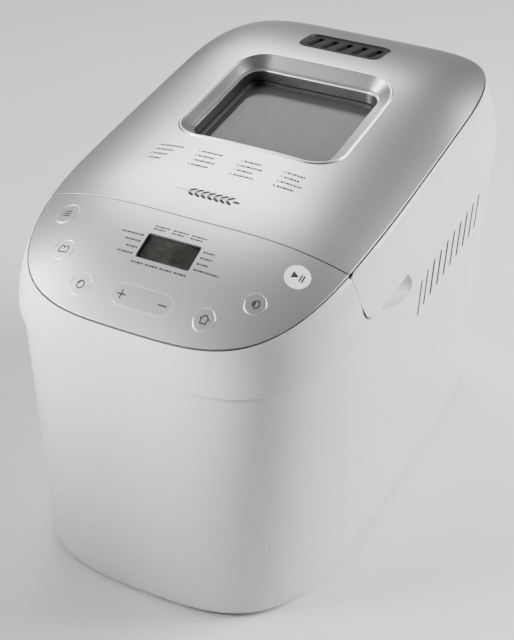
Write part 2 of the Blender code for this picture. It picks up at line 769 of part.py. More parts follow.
def window_frame():
    """Bright bezel that slopes down from the lid's top, with an upright sleeve down to the seal."""
    rings = [
        with_height(window_half(0.0015), below_top(0.0030)),
        with_height(window_half(0.0015), below_top(-0.0002)),
        with_height(window_half(0.0002), below_top(-0.0008)),
        with_height(window_half(-0.0012), below_top(0.0004)),
        with_height(window_half(-0.0075), window_plane(BEVEL_DROP - 0.0012)),
        with_height(window_half(-0.0100), window_plane(BEVEL_DROP)),
        with_height(window_half(-0.0105), window_plane(SLEEVE_DROP)),
        with_height(window_half(-0.0090), window_plane(SLEEVE_DROP)),
        with_height(window_half(-0.0085), window_plane(BEVEL_DROP + 0.0012)),
        with_height(window_half(-0.0060), window_plane(BEVEL_DROP + 0.0006)),
        with_height(window_half(-0.0020), window_plane(BEVEL_DROP - 0.0030)),
    ]
    return loft("window_frame", [mirrored(ring) for ring in rings], BRIGHT, joined=True)


def pane(name, grow, drop, thickness, made):
    rings = [with_height(window_half(grow), window_plane(drop + thickness)),
             with_height(window_half(grow), window_plane(drop))]
    return loft(name, [mirrored(ring) for ring in rings], made)


def window_gasket():
    outer, inner = window_half(-0.0070), window_half(-0.0125)
    top, bottom = window_plane(SEAL_DROP), window_plane(SEAL_DROP + SEAL_THICKNESS)
    rings = [with_height(outer, bottom), with_height(outer, top), with_height(inner, top),
             with_height(inner, bottom)]
    return loft("window_gasket", [mirrored(ring) for ring in rings], RUBBER, joined=True)


def liner_outline(half_x, half_y, radius):
    return rounded_rectangle(half_x, half_y, radius, (0.0, CHAMBER_Y + 0.0005), 4)


def lid_liner():
    """Pressed inner cover: a raised middle over the pan with a frame round the inner glass."""
    hole = (0.0450, 0.0500)
    hole_y = (WINDOW_FRONT + WINDOW_REAR) / 2
    hole_outline = rounded_rectangle(*hole, 0.010, (0.0, hole_y), 4)
    flat = liner_outline(0.0700, 0.1330, 0.030)
    edge = liner_outline(0.0980, 0.1400, 0.024)
    thick = 0.0010
    rings = [
        at_height(edge, LINER_EDGE), at_height(edge, LINER_EDGE + thick),
        at_height(liner_outline(0.0930, 0.1380, 0.024), LINER_EDGE + thick),
        [(x, y, liner_top(y) + thick) for x, y in flat],
        [(x, y, liner_top(y) + thick) for x, y in hole_outline],
        [(x, y, liner_top(y)) for x, y in hole_outline],
        [(x, y, liner_top(y)) for x, y in liner_outline(0.0690, 0.1325, 0.030)],
        at_height(liner_outline(0.0920, 0.1372, 0.024), LINER_EDGE),
    ]
    return loft("lid_liner", rings, STEEL, joined=True)


def liner_top(y):
    """The liner's raised middle follows the lid's slope."""
    return LINER_RISE + LINER_SLOPE * (y - CHAMBER_Y)


def inner_glass():
    hole_y = (WINDOW_FRONT + WINDOW_REAR) / 2
    outline = rounded_rectangle(0.0500, 0.0550, 0.012, (0.0, hole_y), 4)
    low = 0.0010 + GAP
    rings = [[(x, y, liner_top(y) + rise) for x, y in outline] for rise in (low, low + 0.0025)]
    return loft("inner_glass", rings, GLASS)


# Deck, chamber and hinge on the body

def inner_deck():
    """Deck under the lid, with the mouth of the baking chamber."""
    shoulder = half_curve(SHOULDER_HALF - WALL - 0.0026, SHOULDER_FRONT, 0.085,
                          SHOULDER_REAR - WALL - 0.0026, *SHOULDER_POWERS)
    y_front = -0.1080
    side = shoulder[: len(shoulder) // 2 + 1]
    x_end = float(np.interp(y_front, side[:, 1], side[:, 0]))
    behind = np.r_[[[x_end, y_front]], shoulder[shoulder[:, 1] > y_front]]
    ahead = np.array([(0.0, y_front), (x_end, y_front)])
    outer = np.r_[resample(ahead, DECK_COUNTS[0]), resample(behind, DECK_COUNTS[1])[1:]]
    mouth = mouth_half(SHEET + 0.0010)
    rings = [
        with_height(outer, DECK_TOP - 0.0025), with_height(outer, DECK_TOP),
        with_height(mouth, DECK_TOP), with_height(mouth, DECK_TOP - 0.0025),
    ]
    deck = loft("inner_deck", [mirrored(ring) for ring in rings], WHITE, joined=True)
    for side_x in (-1, 1):
        low = (side_x * 0.124 - 0.010, -0.107, DECK_TOP - 0.010)
        high = (side_x * 0.124 + 0.010, -0.035, DECK_TOP + 0.004)
        cut(deck, box("deck_scoop_relief", low, high, PLAIN))
    return deck


def mouth_half(grow):
    """Right half of the chamber's mouth, with the same number of points as the deck."""
    half_x, half_y = CHAMBER_HALF[0] + grow, CHAMBER_HALF[1] + grow
    radius = CHAMBER_RADIUS + grow
    arc = np.radians(np.linspace(0, 90, 9))
    low, high = CHAMBER_Y - half_y, CHAMBER_Y + half_y
    front_arc = [(half_x - radius + radius * math.sin(a), low + radius - radius * math.cos(a))
                 for a in arc]
    rear_arc = [(half_x - radius + radius * math.cos(a), high - radius + radius * math.sin(a))
                for a in arc]
    first = np.array([(0.0, low), *front_arc[:5]])
    second = np.array([*front_arc[4:], *rear_arc, (0.0, high)])
    return np.r_[resample(first, DECK_COUNTS[0]), resample(second, DECK_COUNTS[1])[1:]]


def chamber_outline(inset, radius=CHAMBER_RADIUS):
    return rounded_rectangle(CHAMBER_HALF[0] - inset, CHAMBER_HALF[1] - inset, radius - inset,
                             (0.0, CHAMBER_Y), 4)


def baking_chamber():
    flange = DECK_TOP + GAP
    rings = [
        at_height(chamber_outline(0.012), CHAMBER_FLOOR),
        at_height(chamber_outline(0.0), CHAMBER_FLOOR + 0.010),
        at_height(chamber_outline(0.0), flange),
        at_height(chamber_outline(-0.006, 0.024), flange),
        at_height(chamber_outline(-0.006, 0.024), flange + SHEET),
        at_height(chamber_outline(SHEET), flange + SHEET),
        at_height(chamber_outline(SHEET), CHAMBER_FLOOR + 0.0105),
        at_height(chamber_outline(0.0125), CHAMBER_FLOOR + SHEET),
    ]
    chamber = loft("baking_chamber", rings, STEEL)
    bore = [(0.0060, 0.05), (0.0060, 0.06)]
    holes = [turned("shaft_hole", bore, PLAIN, (0.0, y)) for y in SHAFT_Y]
    for x in (-0.030, 0.030):
        hole = turned("element_hole", [(0.0038, -0.006), (0.0038, 0.006)], PLAIN, count=12)
        hole.data.transform(along_y(x, CHAMBER_Y + CHAMBER_HALF[1], ELEMENT_Z))
        holes.append(hole)
    hole = turned("sensor_hole", [(0.0038, -0.006), (0.0038, 0.006)], PLAIN, count=12)
    hole.data.transform(along_y(SENSOR[0], CHAMBER_Y - CHAMBER_HALF[1], SENSOR[2]))
    holes.append(hole)
    cut(chamber, join("chamber_holes", holes))
    return chamber


def along_y(x, y, z):
    return Matrix.Translation((x, y, z)) @ Matrix.Rotation(-math.pi / 2, 4, "X")


def heating_element():
    """Sheathed tube that runs round the pan and leaves through the rear wall."""
    half_x, half_y, radius, exit_x, bend = 0.0780, 0.1220, 0.028, 0.030, 0.0090
    centre = CHAMBER_Y - 0.0020
    points = [(exit_x, 0.1835), (exit_x, centre + half_y + bend)]
    low, high = centre - half_y, centre + half_y
    points += [(exit_x + bend - bend * math.cos(a), high + bend - bend * math.sin(a))
               for a in np.radians((30, 60, 90))]
    for corner_x, corner_y, start in ((half_x, high, 90), (half_x, low, 0)):
        sign = 1 if corner_y == high else -1
        cx, cy = corner_x - radius, corner_y - sign * radius
        points += [(cx + radius * math.cos(math.radians(start - step)),
                    cy + radius * math.sin(math.radians(start - step)))
                   for step in (0, 22.5, 45, 67.5, 90)]
    left = [(-x, y) for x, y in points[::-1]]
    route = [(x, y, ELEMENT_Z) for x, y in points + left]
    return tube("heating_element", route, 0.00325, 8, HEATER)


def tube(name, route, radius, sides, made):
    """A round tube along a route of points, capped at both ends."""
    path = [Vector(point) for point in route]
    rings = []
    across = None
    for i, point in enumerate(path):
        before = path[max(i - 1, 0)]
        after = path[min(i + 1, len(path) - 1)]
        along = (after - before).normalized()
        if across is None:
            helper = Vector((0, 0, 1)) if abs(along.z) < 0.9 else Vector((1, 0, 0))
            across = along.cross(helper).normalized()
        across = (across - along * across.dot(along)).normalized()
        other = along.cross(across)
        ring = []
        for step in range(sides):
            angle = 2 * math.pi * step / sides
            ring.append(tuple(point + (across * math.cos(angle) + other * math.sin(angle)) * radius))
        rings.append(ring)
    return loft(name, rings, made)


def temperature_sensor():
    profile = [(0.0030, -0.010), (0.0030, 0.0), (0.0070, 0.0), (0.0070, 0.0020), (0.0030, 0.0020),
               (0.0030, 0.0100), (0.0020, 0.0120)]
    sensor = turned("temperature_sensor", profile, STEEL, count=12)
    sensor.data.transform(along_y(SENSOR[0], SENSOR[1] + 0.0029, SENSOR[2]))
    return sensor


def thermal_fuse():
    y = CHAMBER_Y - CHAMBER_HALF[1]
    fuse = box("thermal_fuse", (0.030, y - 0.0085, 0.110), (0.054, y - 0.0004, 0.120), CERAMIC)
    lug = box("fuse_lug", (0.024, y - 0.0020, 0.112), (0.060, y - 0.0004, 0.118), PLAIN)
    add(fuse, lug)
    return fuse


def pan_clip(name, side):
    """Spring clip on the chamber floor that grips the foot of the pan."""
    x = side * 0.0600
    floor = CHAMBER_FLOOR + SHEET + GAP
    inner = x - side * 0.0005
    profile = [
        (0.0, floor), (0.0100, floor), (0.0100, floor + 0.0008), (0.0020, floor + 0.0008),
        (0.0020, floor + 0.0070), (0.0035, floor + 0.0095), (0.0030, floor + 0.0098),
        (0.0010, floor + 0.0072),
    ]
    rings = [[(inner + side * dx, CHAMBER_Y + dy, z) for dx, z in profile] for dy in (-0.009, 0.009)]
    return loft(name, rings, STEEL)


def hinge_bracket(name, side):
    """Upright lug on the rear of the deck that holds the hinge pin."""
    radius = 0.0040
    rise = [(HINGE_Y - radius, DECK_TOP + GAP), (HINGE_Y + 0.0020, DECK_TOP + GAP),
            (HINGE_Y + 0.0020, HINGE_Z - 0.0060)]
    arc = [(HINGE_Y + radius * math.cos(math.radians(a)), HINGE_Z + radius * math.sin(math.radians(a)))
           for a in (0, 30, 60, 90, 120, 150, 180)]
    rings = [[(side * HINGE_X + dx, y, z) for y, z in rise + arc] for dx in (-0.0065, 0.0065)]
    bracket = loft(name, rings, GREY)
    cut(bracket, across_x(name + "_bore", side * HINGE_X, 0.0080, 0.0023, "round"))
    return bracket


def hinge_pin(name, side):
    return across_x(name, side * (HINGE_X + 0.0067), 0.0133, 0.0020, "round")


def cord_inlet():
    profile = [(0.0045, -0.0060), (0.0110, -0.0060), (0.0110, -0.0035), (0.0080, -0.0035),
               (0.0080, 0.0022), (0.0065, 0.0030), (0.0045, 0.0030)]
    inlet = turned("cord_inlet", profile, DARK, bored=True)
    inlet.data.transform(along_y(INLET[0], INLET[1] - 0.0015, INLET[2]))
    return inlet


# Base and drive

def base_plate():
    inset = WALL + 0.0026
    plan = resample(half_curve(BASE_HALF - inset, BASE_FRONT + inset, 0.08, BASE_REAR - inset,
                               *BASE_POWERS), BODY_COUNT)
    rings = [mirrored(with_height(plan, z)) for z in (0.0100, 0.0125)]
    return loft("base_plate", rings, GREY)


def foot(name, x, y):
    profile = [(0.0085, 0.0), (0.0100, 0.0012), (0.0100, 0.0080), (0.0080, 0.0097)]
    return turned(name, profile, RUBBER, (x, y))


def drive_chassis():
    """Cast carrier over the base plate for the motor and the two drive shafts."""
    outline = rounded_rectangle(0.070, 0.160, 0.015, (0.0, -0.030), 3)
    rings = [at_height(outline, CHASSIS_TOP - 0.0035), at_height(outline, CHASSIS_TOP)]
    chassis = loft("drive_chassis", rings, CAST)
    for x in (-0.060, 0.060):
        for y in (-0.165, 0.105):
            post = [(0.006, 0.0128), (0.006, CHASSIS_TOP - 0.001)]
            add(chassis, turned("post", post, PLAIN, (x, y), count=12))
    bore = [(0.0103, 0.03), (0.0103, 0.06)]
    holes = [turned("bearing_hole", bore, PLAIN, (0.0, y)) for y in SHAFT_Y]
    holes.append(turned("motor_hole", [(0.0120, 0.03), (0.0120, 0.06)], PLAIN, (0.0, MOTOR_Y)))
    cut(chassis, join("chassis_holes", holes))
    return chassis


def bearing(name, y):
    seat = CHASSIS_TOP + GAP
    profile = [(0.0043, 0.0405), (0.0100, 0.0405), (0.0100, seat), (0.0130, seat), (0.0100, 0.0535),
               (0.0043, 0.0535)]
    return turned(name, profile, BRASS, (0.0, y), bored=True)


def drive_shaft(name, y):
    return turned(name, [(0.0040, 0.0145), (0.0040, 0.0640)], STEEL, (0.0, y), count=16)


def stepped_pulley():
    """Large pulley for the motor belt with a small one above it for the second shaft."""
    profile = [
        (0.0043, 0.0165), (LARGE_PULLEY + 0.0020, 0.0165), (LARGE_PULLEY + 0.0020, 0.0180),
        (LARGE_PULLEY, 0.0185), (LARGE_PULLEY, 0.0255), (LARGE_PULLEY + 0.0020, 0.0260),
        (LARGE_PULLEY + 0.0020, 0.0275), (SHAFT_PULLEY + 0.0020, 0.0275),
        (SHAFT_PULLEY + 0.0020, 0.0295), (SHAFT_PULLEY, 0.0300), (SHAFT_PULLEY, 0.0360),
        (SHAFT_PULLEY + 0.0020, 0.0365), (SHAFT_PULLEY + 0.0020, 0.0380), (0.0043, 0.0380),
    ]
    return turned("front_drive_pulley", profile, NYLON, (0.0, SHAFT_Y[0]), bored=True, count=24)


def rear_pulley():
    profile = [
        (0.0043, 0.0280), (SHAFT_PULLEY + 0.0020, 0.0280), (SHAFT_PULLEY + 0.0020, 0.0295),
        (SHAFT_PULLEY, 0.0300), (SHAFT_PULLEY, 0.0360), (SHAFT_PULLEY + 0.0020, 0.0365),
        (SHAFT_PULLEY + 0.0020, 0.0380), (0.0043, 0.0380),
    ]
    return turned("rear_drive_pulley", profile, NYLON, (0.0, SHAFT_Y[1]), bored=True, count=24)


def motor_pulley():
    profile = [
        (0.0033, 0.0165), (MOTOR_PULLEY + 0.0020, 0.0165), (MOTOR_PULLEY + 0.0020, 0.0180),
        (MOTOR_PULLEY, 0.0185), (MOTOR_PULLEY, 0.0255), (MOTOR_PULLEY + 0.0020, 0.0260),
        (MOTOR_PULLEY + 0.0020, 0.0275), (0.0033, 0.0275),
    ]
    return turned("motor_pulley", profile, NYLON, (0.0, MOTOR_Y), bored=True, count=20)


def belt_outline(y_a, radius_a, y_b, radius_b, count=32):
    """Open-belt outline round two pulleys on x = 0, from the pulleys' tangents."""
    lean = math.asin((radius_b - radius_a) / (y_b - y_a))
    points = []
    for centre, radius, start, end in (
        (y_a, radius_a, 180 + math.degrees(lean), 360 - math.degrees(lean)),
        (y_b, radius_b, -math.degrees(lean), 180 + math.degrees(lean)),
    ):
        for i in range(count // 2):
            angle = math.radians(start + (end - start) * i / (count // 2 - 1))
            points.append((radius * math.cos(angle), centre + radius * math.sin(angle)))
    return points


def belt(name, y_a, radius_a, y_b, radius_b, low, high):
    inner = belt_outline(y_a, radius_a + 0.0007, y_b, radius_b + 0.0007)
    outer = belt_outline(y_a, radius_a + 0.0025, y_b, radius_b + 0.0025)
    rings = [
        at_height(inner, low), at_height(outer, low), at_height(outer, high), at_height(inner, high),
    ]
    return loft(name, rings, RUBBER, joined=True)


def motor():
    profile = [
        (0.0034, CHASSIS_TOP + GAP), (0.0350, CHASSIS_TOP + GAP), (0.0350, 0.0700), (0.0320, 0.0720),
        (0.0320, 0.1050), (0.0350, 0.1070), (0.0350, 0.1230), (0.0300, 0.1260), (0.0090, 0.1260),
        (0.0090, 0.1290), (0.0034, 0.1290),
    ]
    return turned("motor", profile, CAST, (0.0, MOTOR_Y), bored=True, count=20)


def motor_shaft():
    return turned("motor_shaft", [(0.0030, 0.0145), (0.0030, 0.1320)], STEEL, (0.0, MOTOR_Y), count=12)


def drive_dog(name, y):
    """Cross-bar on a drive shaft that turns the pan's coupling."""
    dog = turned(name, [(0.0043, 0.0571), (0.0080, 0.0571), (0.0080, 0.0655), (0.0043, 0.0655)],
                 STEEL, (0.0, y), bored=True, count=12)
    for side in (-1, 1):
        low = (min(side * 0.0060, side * 0.0125), y - 0.0028, 0.0590)
        high = (max(side * 0.0060, side * 0.0125), y + 0.0028, 0.0650)
        add(dog, box("dog_arm", low, high, PLAIN))
    return dog


def power_board():
    """Upright board beside the motor with its relay, capacitor and transformer."""
    board = box("power_board", (0.0560, -0.1850, 0.0600), (0.0576, -0.1150, 0.1600), BOARD)
    for low, high in (
        ((0.0570, -0.1780, 0.0700), (0.0800, -0.1500, 0.1000)),
        ((0.0570, -0.1420, 0.0720), (0.0720, -0.1260, 0.0960)),
        ((0.0570, -0.1760, 0.1150), (0.0700, -0.1560, 0.1400)),
    ):
        add(board, box("component", low, high, PLAIN))
    return board


# Pan

def pan_outline(half_x, half_y, radius):
    return rounded_rectangle(half_x, half_y, radius, (0.0, CHAMBER_Y), 4)


def bread_pan():
    """Tapered baking tin with a rolled rim, a foot ring and two lugs for the handle."""
    rings = [
        at_height(pan_outline(0.0480, 0.1000, 0.014), 0.0600),
        at_height(pan_outline(0.0500, 0.1020, 0.016), 0.0600),
        at_height(pan_outline(0.0500, 0.1020, 0.016), PAN_BOTTOM),
        at_height(pan_outline(0.0560, 0.1080, 0.018), PAN_BOTTOM),
        at_height(pan_outline(0.0600, 0.1120, 0.020), PAN_BOTTOM + 0.004),
        at_height(pan_outline(0.0655, 0.1175, 0.022), PAN_TOP - 0.003),
        at_height(pan_outline(0.0695, 0.1215, 0.024), PAN_TOP - 0.003),
        at_height(pan_outline(0.0695, 0.1215, 0.024), PAN_TOP),
        at_height(pan_outline(0.0642, 0.1162, 0.021), PAN_TOP),
        at_height(pan_outline(0.0585, 0.1105, 0.019), PAN_BOTTOM + 0.005),
        at_height(pan_outline(0.0545, 0.1065, 0.017), PAN_BOTTOM + 0.0015),
    ]
    underside = [at_height(pan_outline(0.0480, 0.1000, 0.014), PAN_BOTTOM)]
    pan = loft("bread_pan", underside + rings, TIN)
    for side in (-1, 1):
        y = CHAMBER_Y + side * 0.1190
        arc = [(0.0070 * math.cos(a), HANDLE_Z + 0.0070 * math.sin(a))
               for a in np.radians(np.arange(0, 181, 30))]
        foot_z = PAN_TOP - 0.002
        outline = arc + [(-0.0090, foot_z), (0.0090, foot_z)]
        rings = [[(x, y + dy, z) for x, z in outline] for dy in (-0.0012, 0.0012)]
        add(pan, loft("handle_lug", rings, PLAIN))
    tools = [turned("pan_hole", [(0.0050, 0.065), (0.0050, 0.080)], PLAIN, (0.0, y), count=16)
             for y in SHAFT_Y]
    for side in (-1, 1):
        hole = turned("pivot_hole", [(0.0024, -0.004), (0.0024, 0.004)], PLAIN, count=12)
        hole.data.transform(along_y(0.0, CHAMBER_Y + side * 0.1190, HANDLE_Z))
        tools.append(hole)
    cut(pan, join("pan_tools", tools))
    return pan


def pan_handle():
    """Wire bail, folded to the right: in through both lugs, up the arms and along the grip."""
    reach = 0.1245
    bend = 0.010
    route = []
    for end in (-1, 1):
        arm = [(0.0, end * 0.1160), (0.0, end * 0.1190), (0.0, end * (reach - 0.0035))]
        arm += [(0.0035 - 0.0035 * math.cos(a), end * (reach - 0.0035 + 0.0035 * math.sin(a)))
                for a in np.radians((45, 90))]
        arm += [(HANDLE_ARM - bend + bend * math.sin(a), end * (reach - bend + bend * math.cos(a)))
                for a in np.radians((0, 30, 60, 90))]
        route.append(arm)
    line = route[0] + route[1][::-1]
    points = [(x, CHAMBER_Y + y, HANDLE_Z) for x, y in line]
    return tube("pan_handle", points, 0.0020, 8, TIN)


def pan_shaft(name, y):
    """Kneading shaft through the pan's floor, with two lugs below for the drive dog."""
    profile = [(0.0150, 0.0665), (0.0150, 0.0690), (0.0070, 0.0690), (0.0070, 0.0712), (0.0046, 0.0712),
               (0.0046, 0.0740), (0.0075, 0.0740), (0.0075, 0.0765), (0.0042, 0.0765), (0.0042, 0.1010)]
    shaft = turned(name, profile, STEEL, (0.0, y), count=16)
    for side in (-1, 1):
        low = (-0.0035, min(y + side * 0.0100, y + side * 0.0140), 0.0600)
        high = (0.0035, max(y + side * 0.0100, y + side * 0.0140), 0.0670)
        add(shaft, box("driven_lug", low, high, PLAIN))
    return shaft


def paddle(name, y, turn):
    """Kneading paddle: a hub on the shaft and one swept blade."""
    hub = turned(name, [(0.0046, 0.0770), (0.0105, 0.0770), (0.0090, 0.0990), (0.0046, 0.0990)],
                 TIN, (0.0, y), bored=True, count=16)
    low_blade = [
        (0.0070, -0.0030), (0.0400, -0.0030), (0.0430, 0.0), (0.0400, 0.0030), (0.0070, 0.0050),
    ]
    high_blade = [
        (0.0070, -0.0020), (0.0300, -0.0010), (0.0320, 0.0010), (0.0300, 0.0030), (0.0070, 0.0035),
    ]
    blade = loft("blade", [at_height(low_blade, 0.0772), at_height(high_blade, 0.1030)], PLAIN)
    blade.data.transform(Matrix.Translation((0.0, y, 0.0)) @ Matrix.Rotation(turn, 4, "Z"))
    add(hub, blade)
    return hub


def place_pivot(point, items):
    """Puts the pieces' origins on their joint's axis; the shapes stay where they are."""
    for item in items:
        item.data.transform(Matrix.Translation(-Vector(point)))
        item.location = point


clear_scene()

PLAIN = material("plain", (0.5, 0.5, 0.5), 0.5)
WHITE = material("white_casing", (0.80, 0.80, 0.79), 0.25)
SILVER = material("silver_panel", (0.60, 0.60, 0.59), 0.32, 0.85)
BRIGHT = material("bright_bezel", (0.66, 0.66, 0.66), 0.28, 0.9)
DARK = material("dark_plastic", (0.035, 0.034, 0.033), 0.5)
GLASS = material("window_glass", (0.20, 0.20, 0.20), 0.05, 0.0, 0.45)
DISPLAY = material("display", (0.07, 0.07, 0.065), 0.3)
KEYCAP = material("keycap", (0.62, 0.62, 0.61), 0.35, 0.7)
START = material("start_keycap", (0.85, 0.85, 0.86), 0.35)
RUBBER = material("rubber", (0.03, 0.03, 0.03), 0.8)
STEEL = material("steel", (0.55, 0.55, 0.55), 0.3, 1.0)
HEATER = material("heater_sheath", (0.10, 0.09, 0.09), 0.45, 0.6)
TIN = material("coated_tin", (0.09, 0.09, 0.095), 0.4, 0.4)
GREY = material("grey_plastic", (0.25, 0.25, 0.25), 0.5)
CAST = material("cast_metal", (0.35, 0.35, 0.36), 0.5, 0.9)
BRASS = material("bronze_bush", (0.55, 0.38, 0.16), 0.35, 1.0)
NYLON = material("nylon", (0.70, 0.68, 0.62), 0.5)
BOARD = material("circuit_board", (0.03, 0.18, 0.07), 0.45)
CERAMIC = material("ceramic", (0.75, 0.73, 0.68), 0.6)

lower_body()
front_housing()
inner_deck()
base_plate()
for foot_name, foot_x, foot_y in (
    ("foot_front_left", -0.085, -0.160), ("foot_front_right", 0.085, -0.160),
    ("foot_rear_left", -0.090, 0.165), ("foot_rear_right", 0.090, 0.165),
):
    foot(foot_name, foot_x, foot_y)
baking_chamber()
heating_element()
temperature_sensor()
thermal_fuse()
pan_clip("pan_clip_left", -1)
pan_clip("pan_clip_right", 1)
drive_chassis()
bearing("front_bearing", SHAFT_Y[0])
bearing("rear_bearing", SHAFT_Y[1])
motor()
power_board()
cord_inlet()
for side_name, side_sign in (("left", -1), ("right", 1)):
    hinge_bracket("hinge_bracket_" + side_name, side_sign)
    hinge_pin("hinge_pin_" + side_name, side_sign)
control_fascia()
display_slab("lcd_window", 0.0008, 0.0012, 0.0, GLASS)
display_slab("lcd_module", 0.0024, 0.0040, -0.0006, DISPLAY)
control_board()
belt("drive_belt", MOTOR_Y, MOTOR_PULLEY, SHAFT_Y[0], LARGE_PULLEY, 0.0195, 0.0245)
belt("shaft_belt", SHAFT_Y[0], SHAFT_PULLEY, SHAFT_Y[1], SHAFT_PULLEY, 0.0308, 0.0352)
place_pivot((0.0, MOTOR_Y, 0.0), [motor_shaft(), motor_pulley()])
for position, shaft_y, pulley, paddle_turn in (
    ("front", SHAFT_Y[0], stepped_pulley, 0.0), ("rear", SHAFT_Y[1], rear_pulley, math.pi),
):
    place_pivot((0.0, shaft_y, 0.0), [
        pulley(),
        drive_shaft(position + "_drive_shaft", shaft_y),
        drive_dog(position + "_drive_dog", shaft_y),
        pan_shaft(position + "_pan_shaft", shaft_y),
        paddle(position + "_paddle", shaft_y, paddle_turn),
    ])
for key_name, key_x, key_y, key_kind in KEYS:
    key(key_name, key_x, key_y, key_kind, START if key_name == "start_key" else KEYCAP)
place_pivot((0.0, HINGE_Y, HINGE_Z), [
    lid_frame(),
    lid_top_plate(),
    window_frame(),
    pane("window_glass", -0.0065, PANE_DROP, PANE_THICKNESS, GLASS),
    window_gasket(),
    inner_glass(),
    lid_liner(),
    lid_vent_grille(),
])
place_pivot((0.0, CHAMBER_Y, PAN_BOTTOM), [bread_pan()])
place_pivot((0.0, CHAMBER_Y, HANDLE_Z), [pan_handle()])
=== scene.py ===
"""Looks of the bread machine: fine shells, keys, window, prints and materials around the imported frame.

Metres, +Z up, the control panel faces -Y, as in the CAD. Outlines are computed from the same driving
dimensions as the frame, with many more points.
"""

import math

import bmesh
import bpy
import numpy as np
from mathutils import Matrix, Vector


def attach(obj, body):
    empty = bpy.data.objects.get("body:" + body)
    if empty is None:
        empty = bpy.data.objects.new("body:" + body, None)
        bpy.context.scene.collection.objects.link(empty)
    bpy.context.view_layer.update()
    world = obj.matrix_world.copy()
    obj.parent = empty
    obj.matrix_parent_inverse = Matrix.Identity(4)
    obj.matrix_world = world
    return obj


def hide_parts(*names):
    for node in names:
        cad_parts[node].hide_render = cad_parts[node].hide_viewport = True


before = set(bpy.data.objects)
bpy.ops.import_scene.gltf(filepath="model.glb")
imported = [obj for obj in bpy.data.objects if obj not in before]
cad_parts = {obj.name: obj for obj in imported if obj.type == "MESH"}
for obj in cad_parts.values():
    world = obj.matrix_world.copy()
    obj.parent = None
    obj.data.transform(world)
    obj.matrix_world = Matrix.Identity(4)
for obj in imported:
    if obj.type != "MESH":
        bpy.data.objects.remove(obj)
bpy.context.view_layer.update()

# Driving dimensions of the casing, as in the frame
RIM_HALF = 0.1245
FRONT = -0.2120
MIDDLE = 0.0911
RIM_REAR = 0.2003
FRONT_POWERS = (3.48, 5.68)
REAR_POWERS = (6.0, 2.3)
BAND_OFFSET = 0.0126
FRONT_SHARE = 0.05
CROWN = 0.0208
CROWN_POWER = 0.8
CROWN_BLEND = 0.060
RIM_HEIGHT = 0.2822
RIM_SLOPE = 0.1016
PART_HEIGHT = 0.2266
PART_SLOPE = 0.044
FRONT_DROOP = 0.974
FRONT_DROOP_FROM = -0.0756
REAR_DROOP = 0.49
REAR_DROOP_FROM = 0.096
WALL = 0.0025
BAND_SHARES = (0.05, 0.12, 0.2, 0.3, 0.4, 0.5, 0.6, 0.7, 0.78, 0.86, 0.92, 0.965)
RIM_LEVELS = ((-0.00005, 0.0009), (-0.0001, 0.0005), (-0.0003, 0.0002), (-0.0006, 0.0001),
              (-0.0008, 0.0006))    # (offset, drop) of the rings over the rim
LIP_OFFSET = -0.0010
SEAM_END = -0.1173
SEAM_BOW = 0.0056
SEAM_LEAN = 0.06
SEAM_GAP = 0.00032
BASE = (0.1258, -0.2118, 0.0800, 0.2080, (3.04, 5.85), (5.0, 3.0))
SHOULDER = (0.1352, -0.2108, 0.0850, 0.2100, (3.4, 5.7), (5.4, 2.7))
SHOULDER_HEIGHT = 0.226
BODY_BOTTOM = 0.0025
CORNER_RELIEF = 0.0006      # more room under the skirt at the lid's front corners and its hinge
REAR_RELIEF = 0.0060
FOOT_RADIUS = 0.0030
SKIRT_GAP = 0.0012
PARTING_GAP = 0.0003
LEDGE_START = -0.1161      # the body's edge steps up from the parting line to the lid's skirt
LEDGE_END = -0.1154
SKIRT_FRONT = 0.2328
SKIRT_FRONT_Y = -0.0980
SKIRT_REAR = 0.2438
SKIRT_RISE = 0.0615
TONGUE_Y = -0.1040
TONGUE_REACH = 0.0115
TONGUE_RISE = 0.0130
TONGUE_SWELL = 0.0017       # how far the body comes out under the lid's front corners
TONGUE_LEAN = 0.042
HINGE_Y = 0.2040
HINGE_Z = 0.2475
HINGE_X = 0.050
WINDOW_HALF = 0.0675
WINDOW_FRONT = -0.0345
WINDOW_REAR = 0.0940
WINDOW_RADIUS = 0.025
BEVEL_DROP = 0.0085        # foot of the bezel's slope, below the plane of the window's edge
SLEEVE_DROP = 0.0175
SEAL_DROP = 0.0178
SEAL_THICKNESS = 0.0017
PANE_DROP = 0.0198
PANE_THICKNESS = 0.0030
PLATE = 0.0012
PLATE_EDGE = 0.0003
PANEL_INSET = 0.0015        # from the rim to the edge of the silver plates
PANEL_FRONT_INSET = 0.0014
LID_INSET = 0.0016
LID_MIDDLE_Y = 0.04
RECESS = 0.0022
PANEL_CENTRE_Y = -0.165
KEY_DEPTH = 0.0058
KEY_LIFT = 0.00008
PILL_HALF = (0.0218, 0.0068)
PILL_SPLIT = 0.00002
PILL_Y = -0.1904
DISPLAY_HALF = 0.0209
DISPLAY_FRONT = -0.1634
DISPLAY_REAR = -0.1432
INLET = (0.040, 0.036)
INLET_RADIUS = 0.0083
SLOT_COUNT = 10
SLOT_FIRST = (-0.0113, 0.1768)      # depth and lower end of the foremost cooling slot
SLOT_STEP = (0.01403, 0.0011)
SLOT_LENGTH = 0.0330
SLOT_RADIUS = 0.0021
SLOT_RECESS = 0.0014
SCOOP_SIZE = (0.0125, 0.0600, 0.0150)
SCOOP_CENTRE = (0.1375, -0.0870, 0.2447)
SCOOP_TILT = math.radians(-28.5)
SCOOP_BACKING = ((0.1180, -0.1060), (0.1285, -0.1060), (0.1308, -0.0880), (0.1322, -0.0680),
                 (0.1334, -0.0300), (0.1180, -0.0300))
SCOOP_BACKING_HEIGHTS = (0.2110, 0.2374)
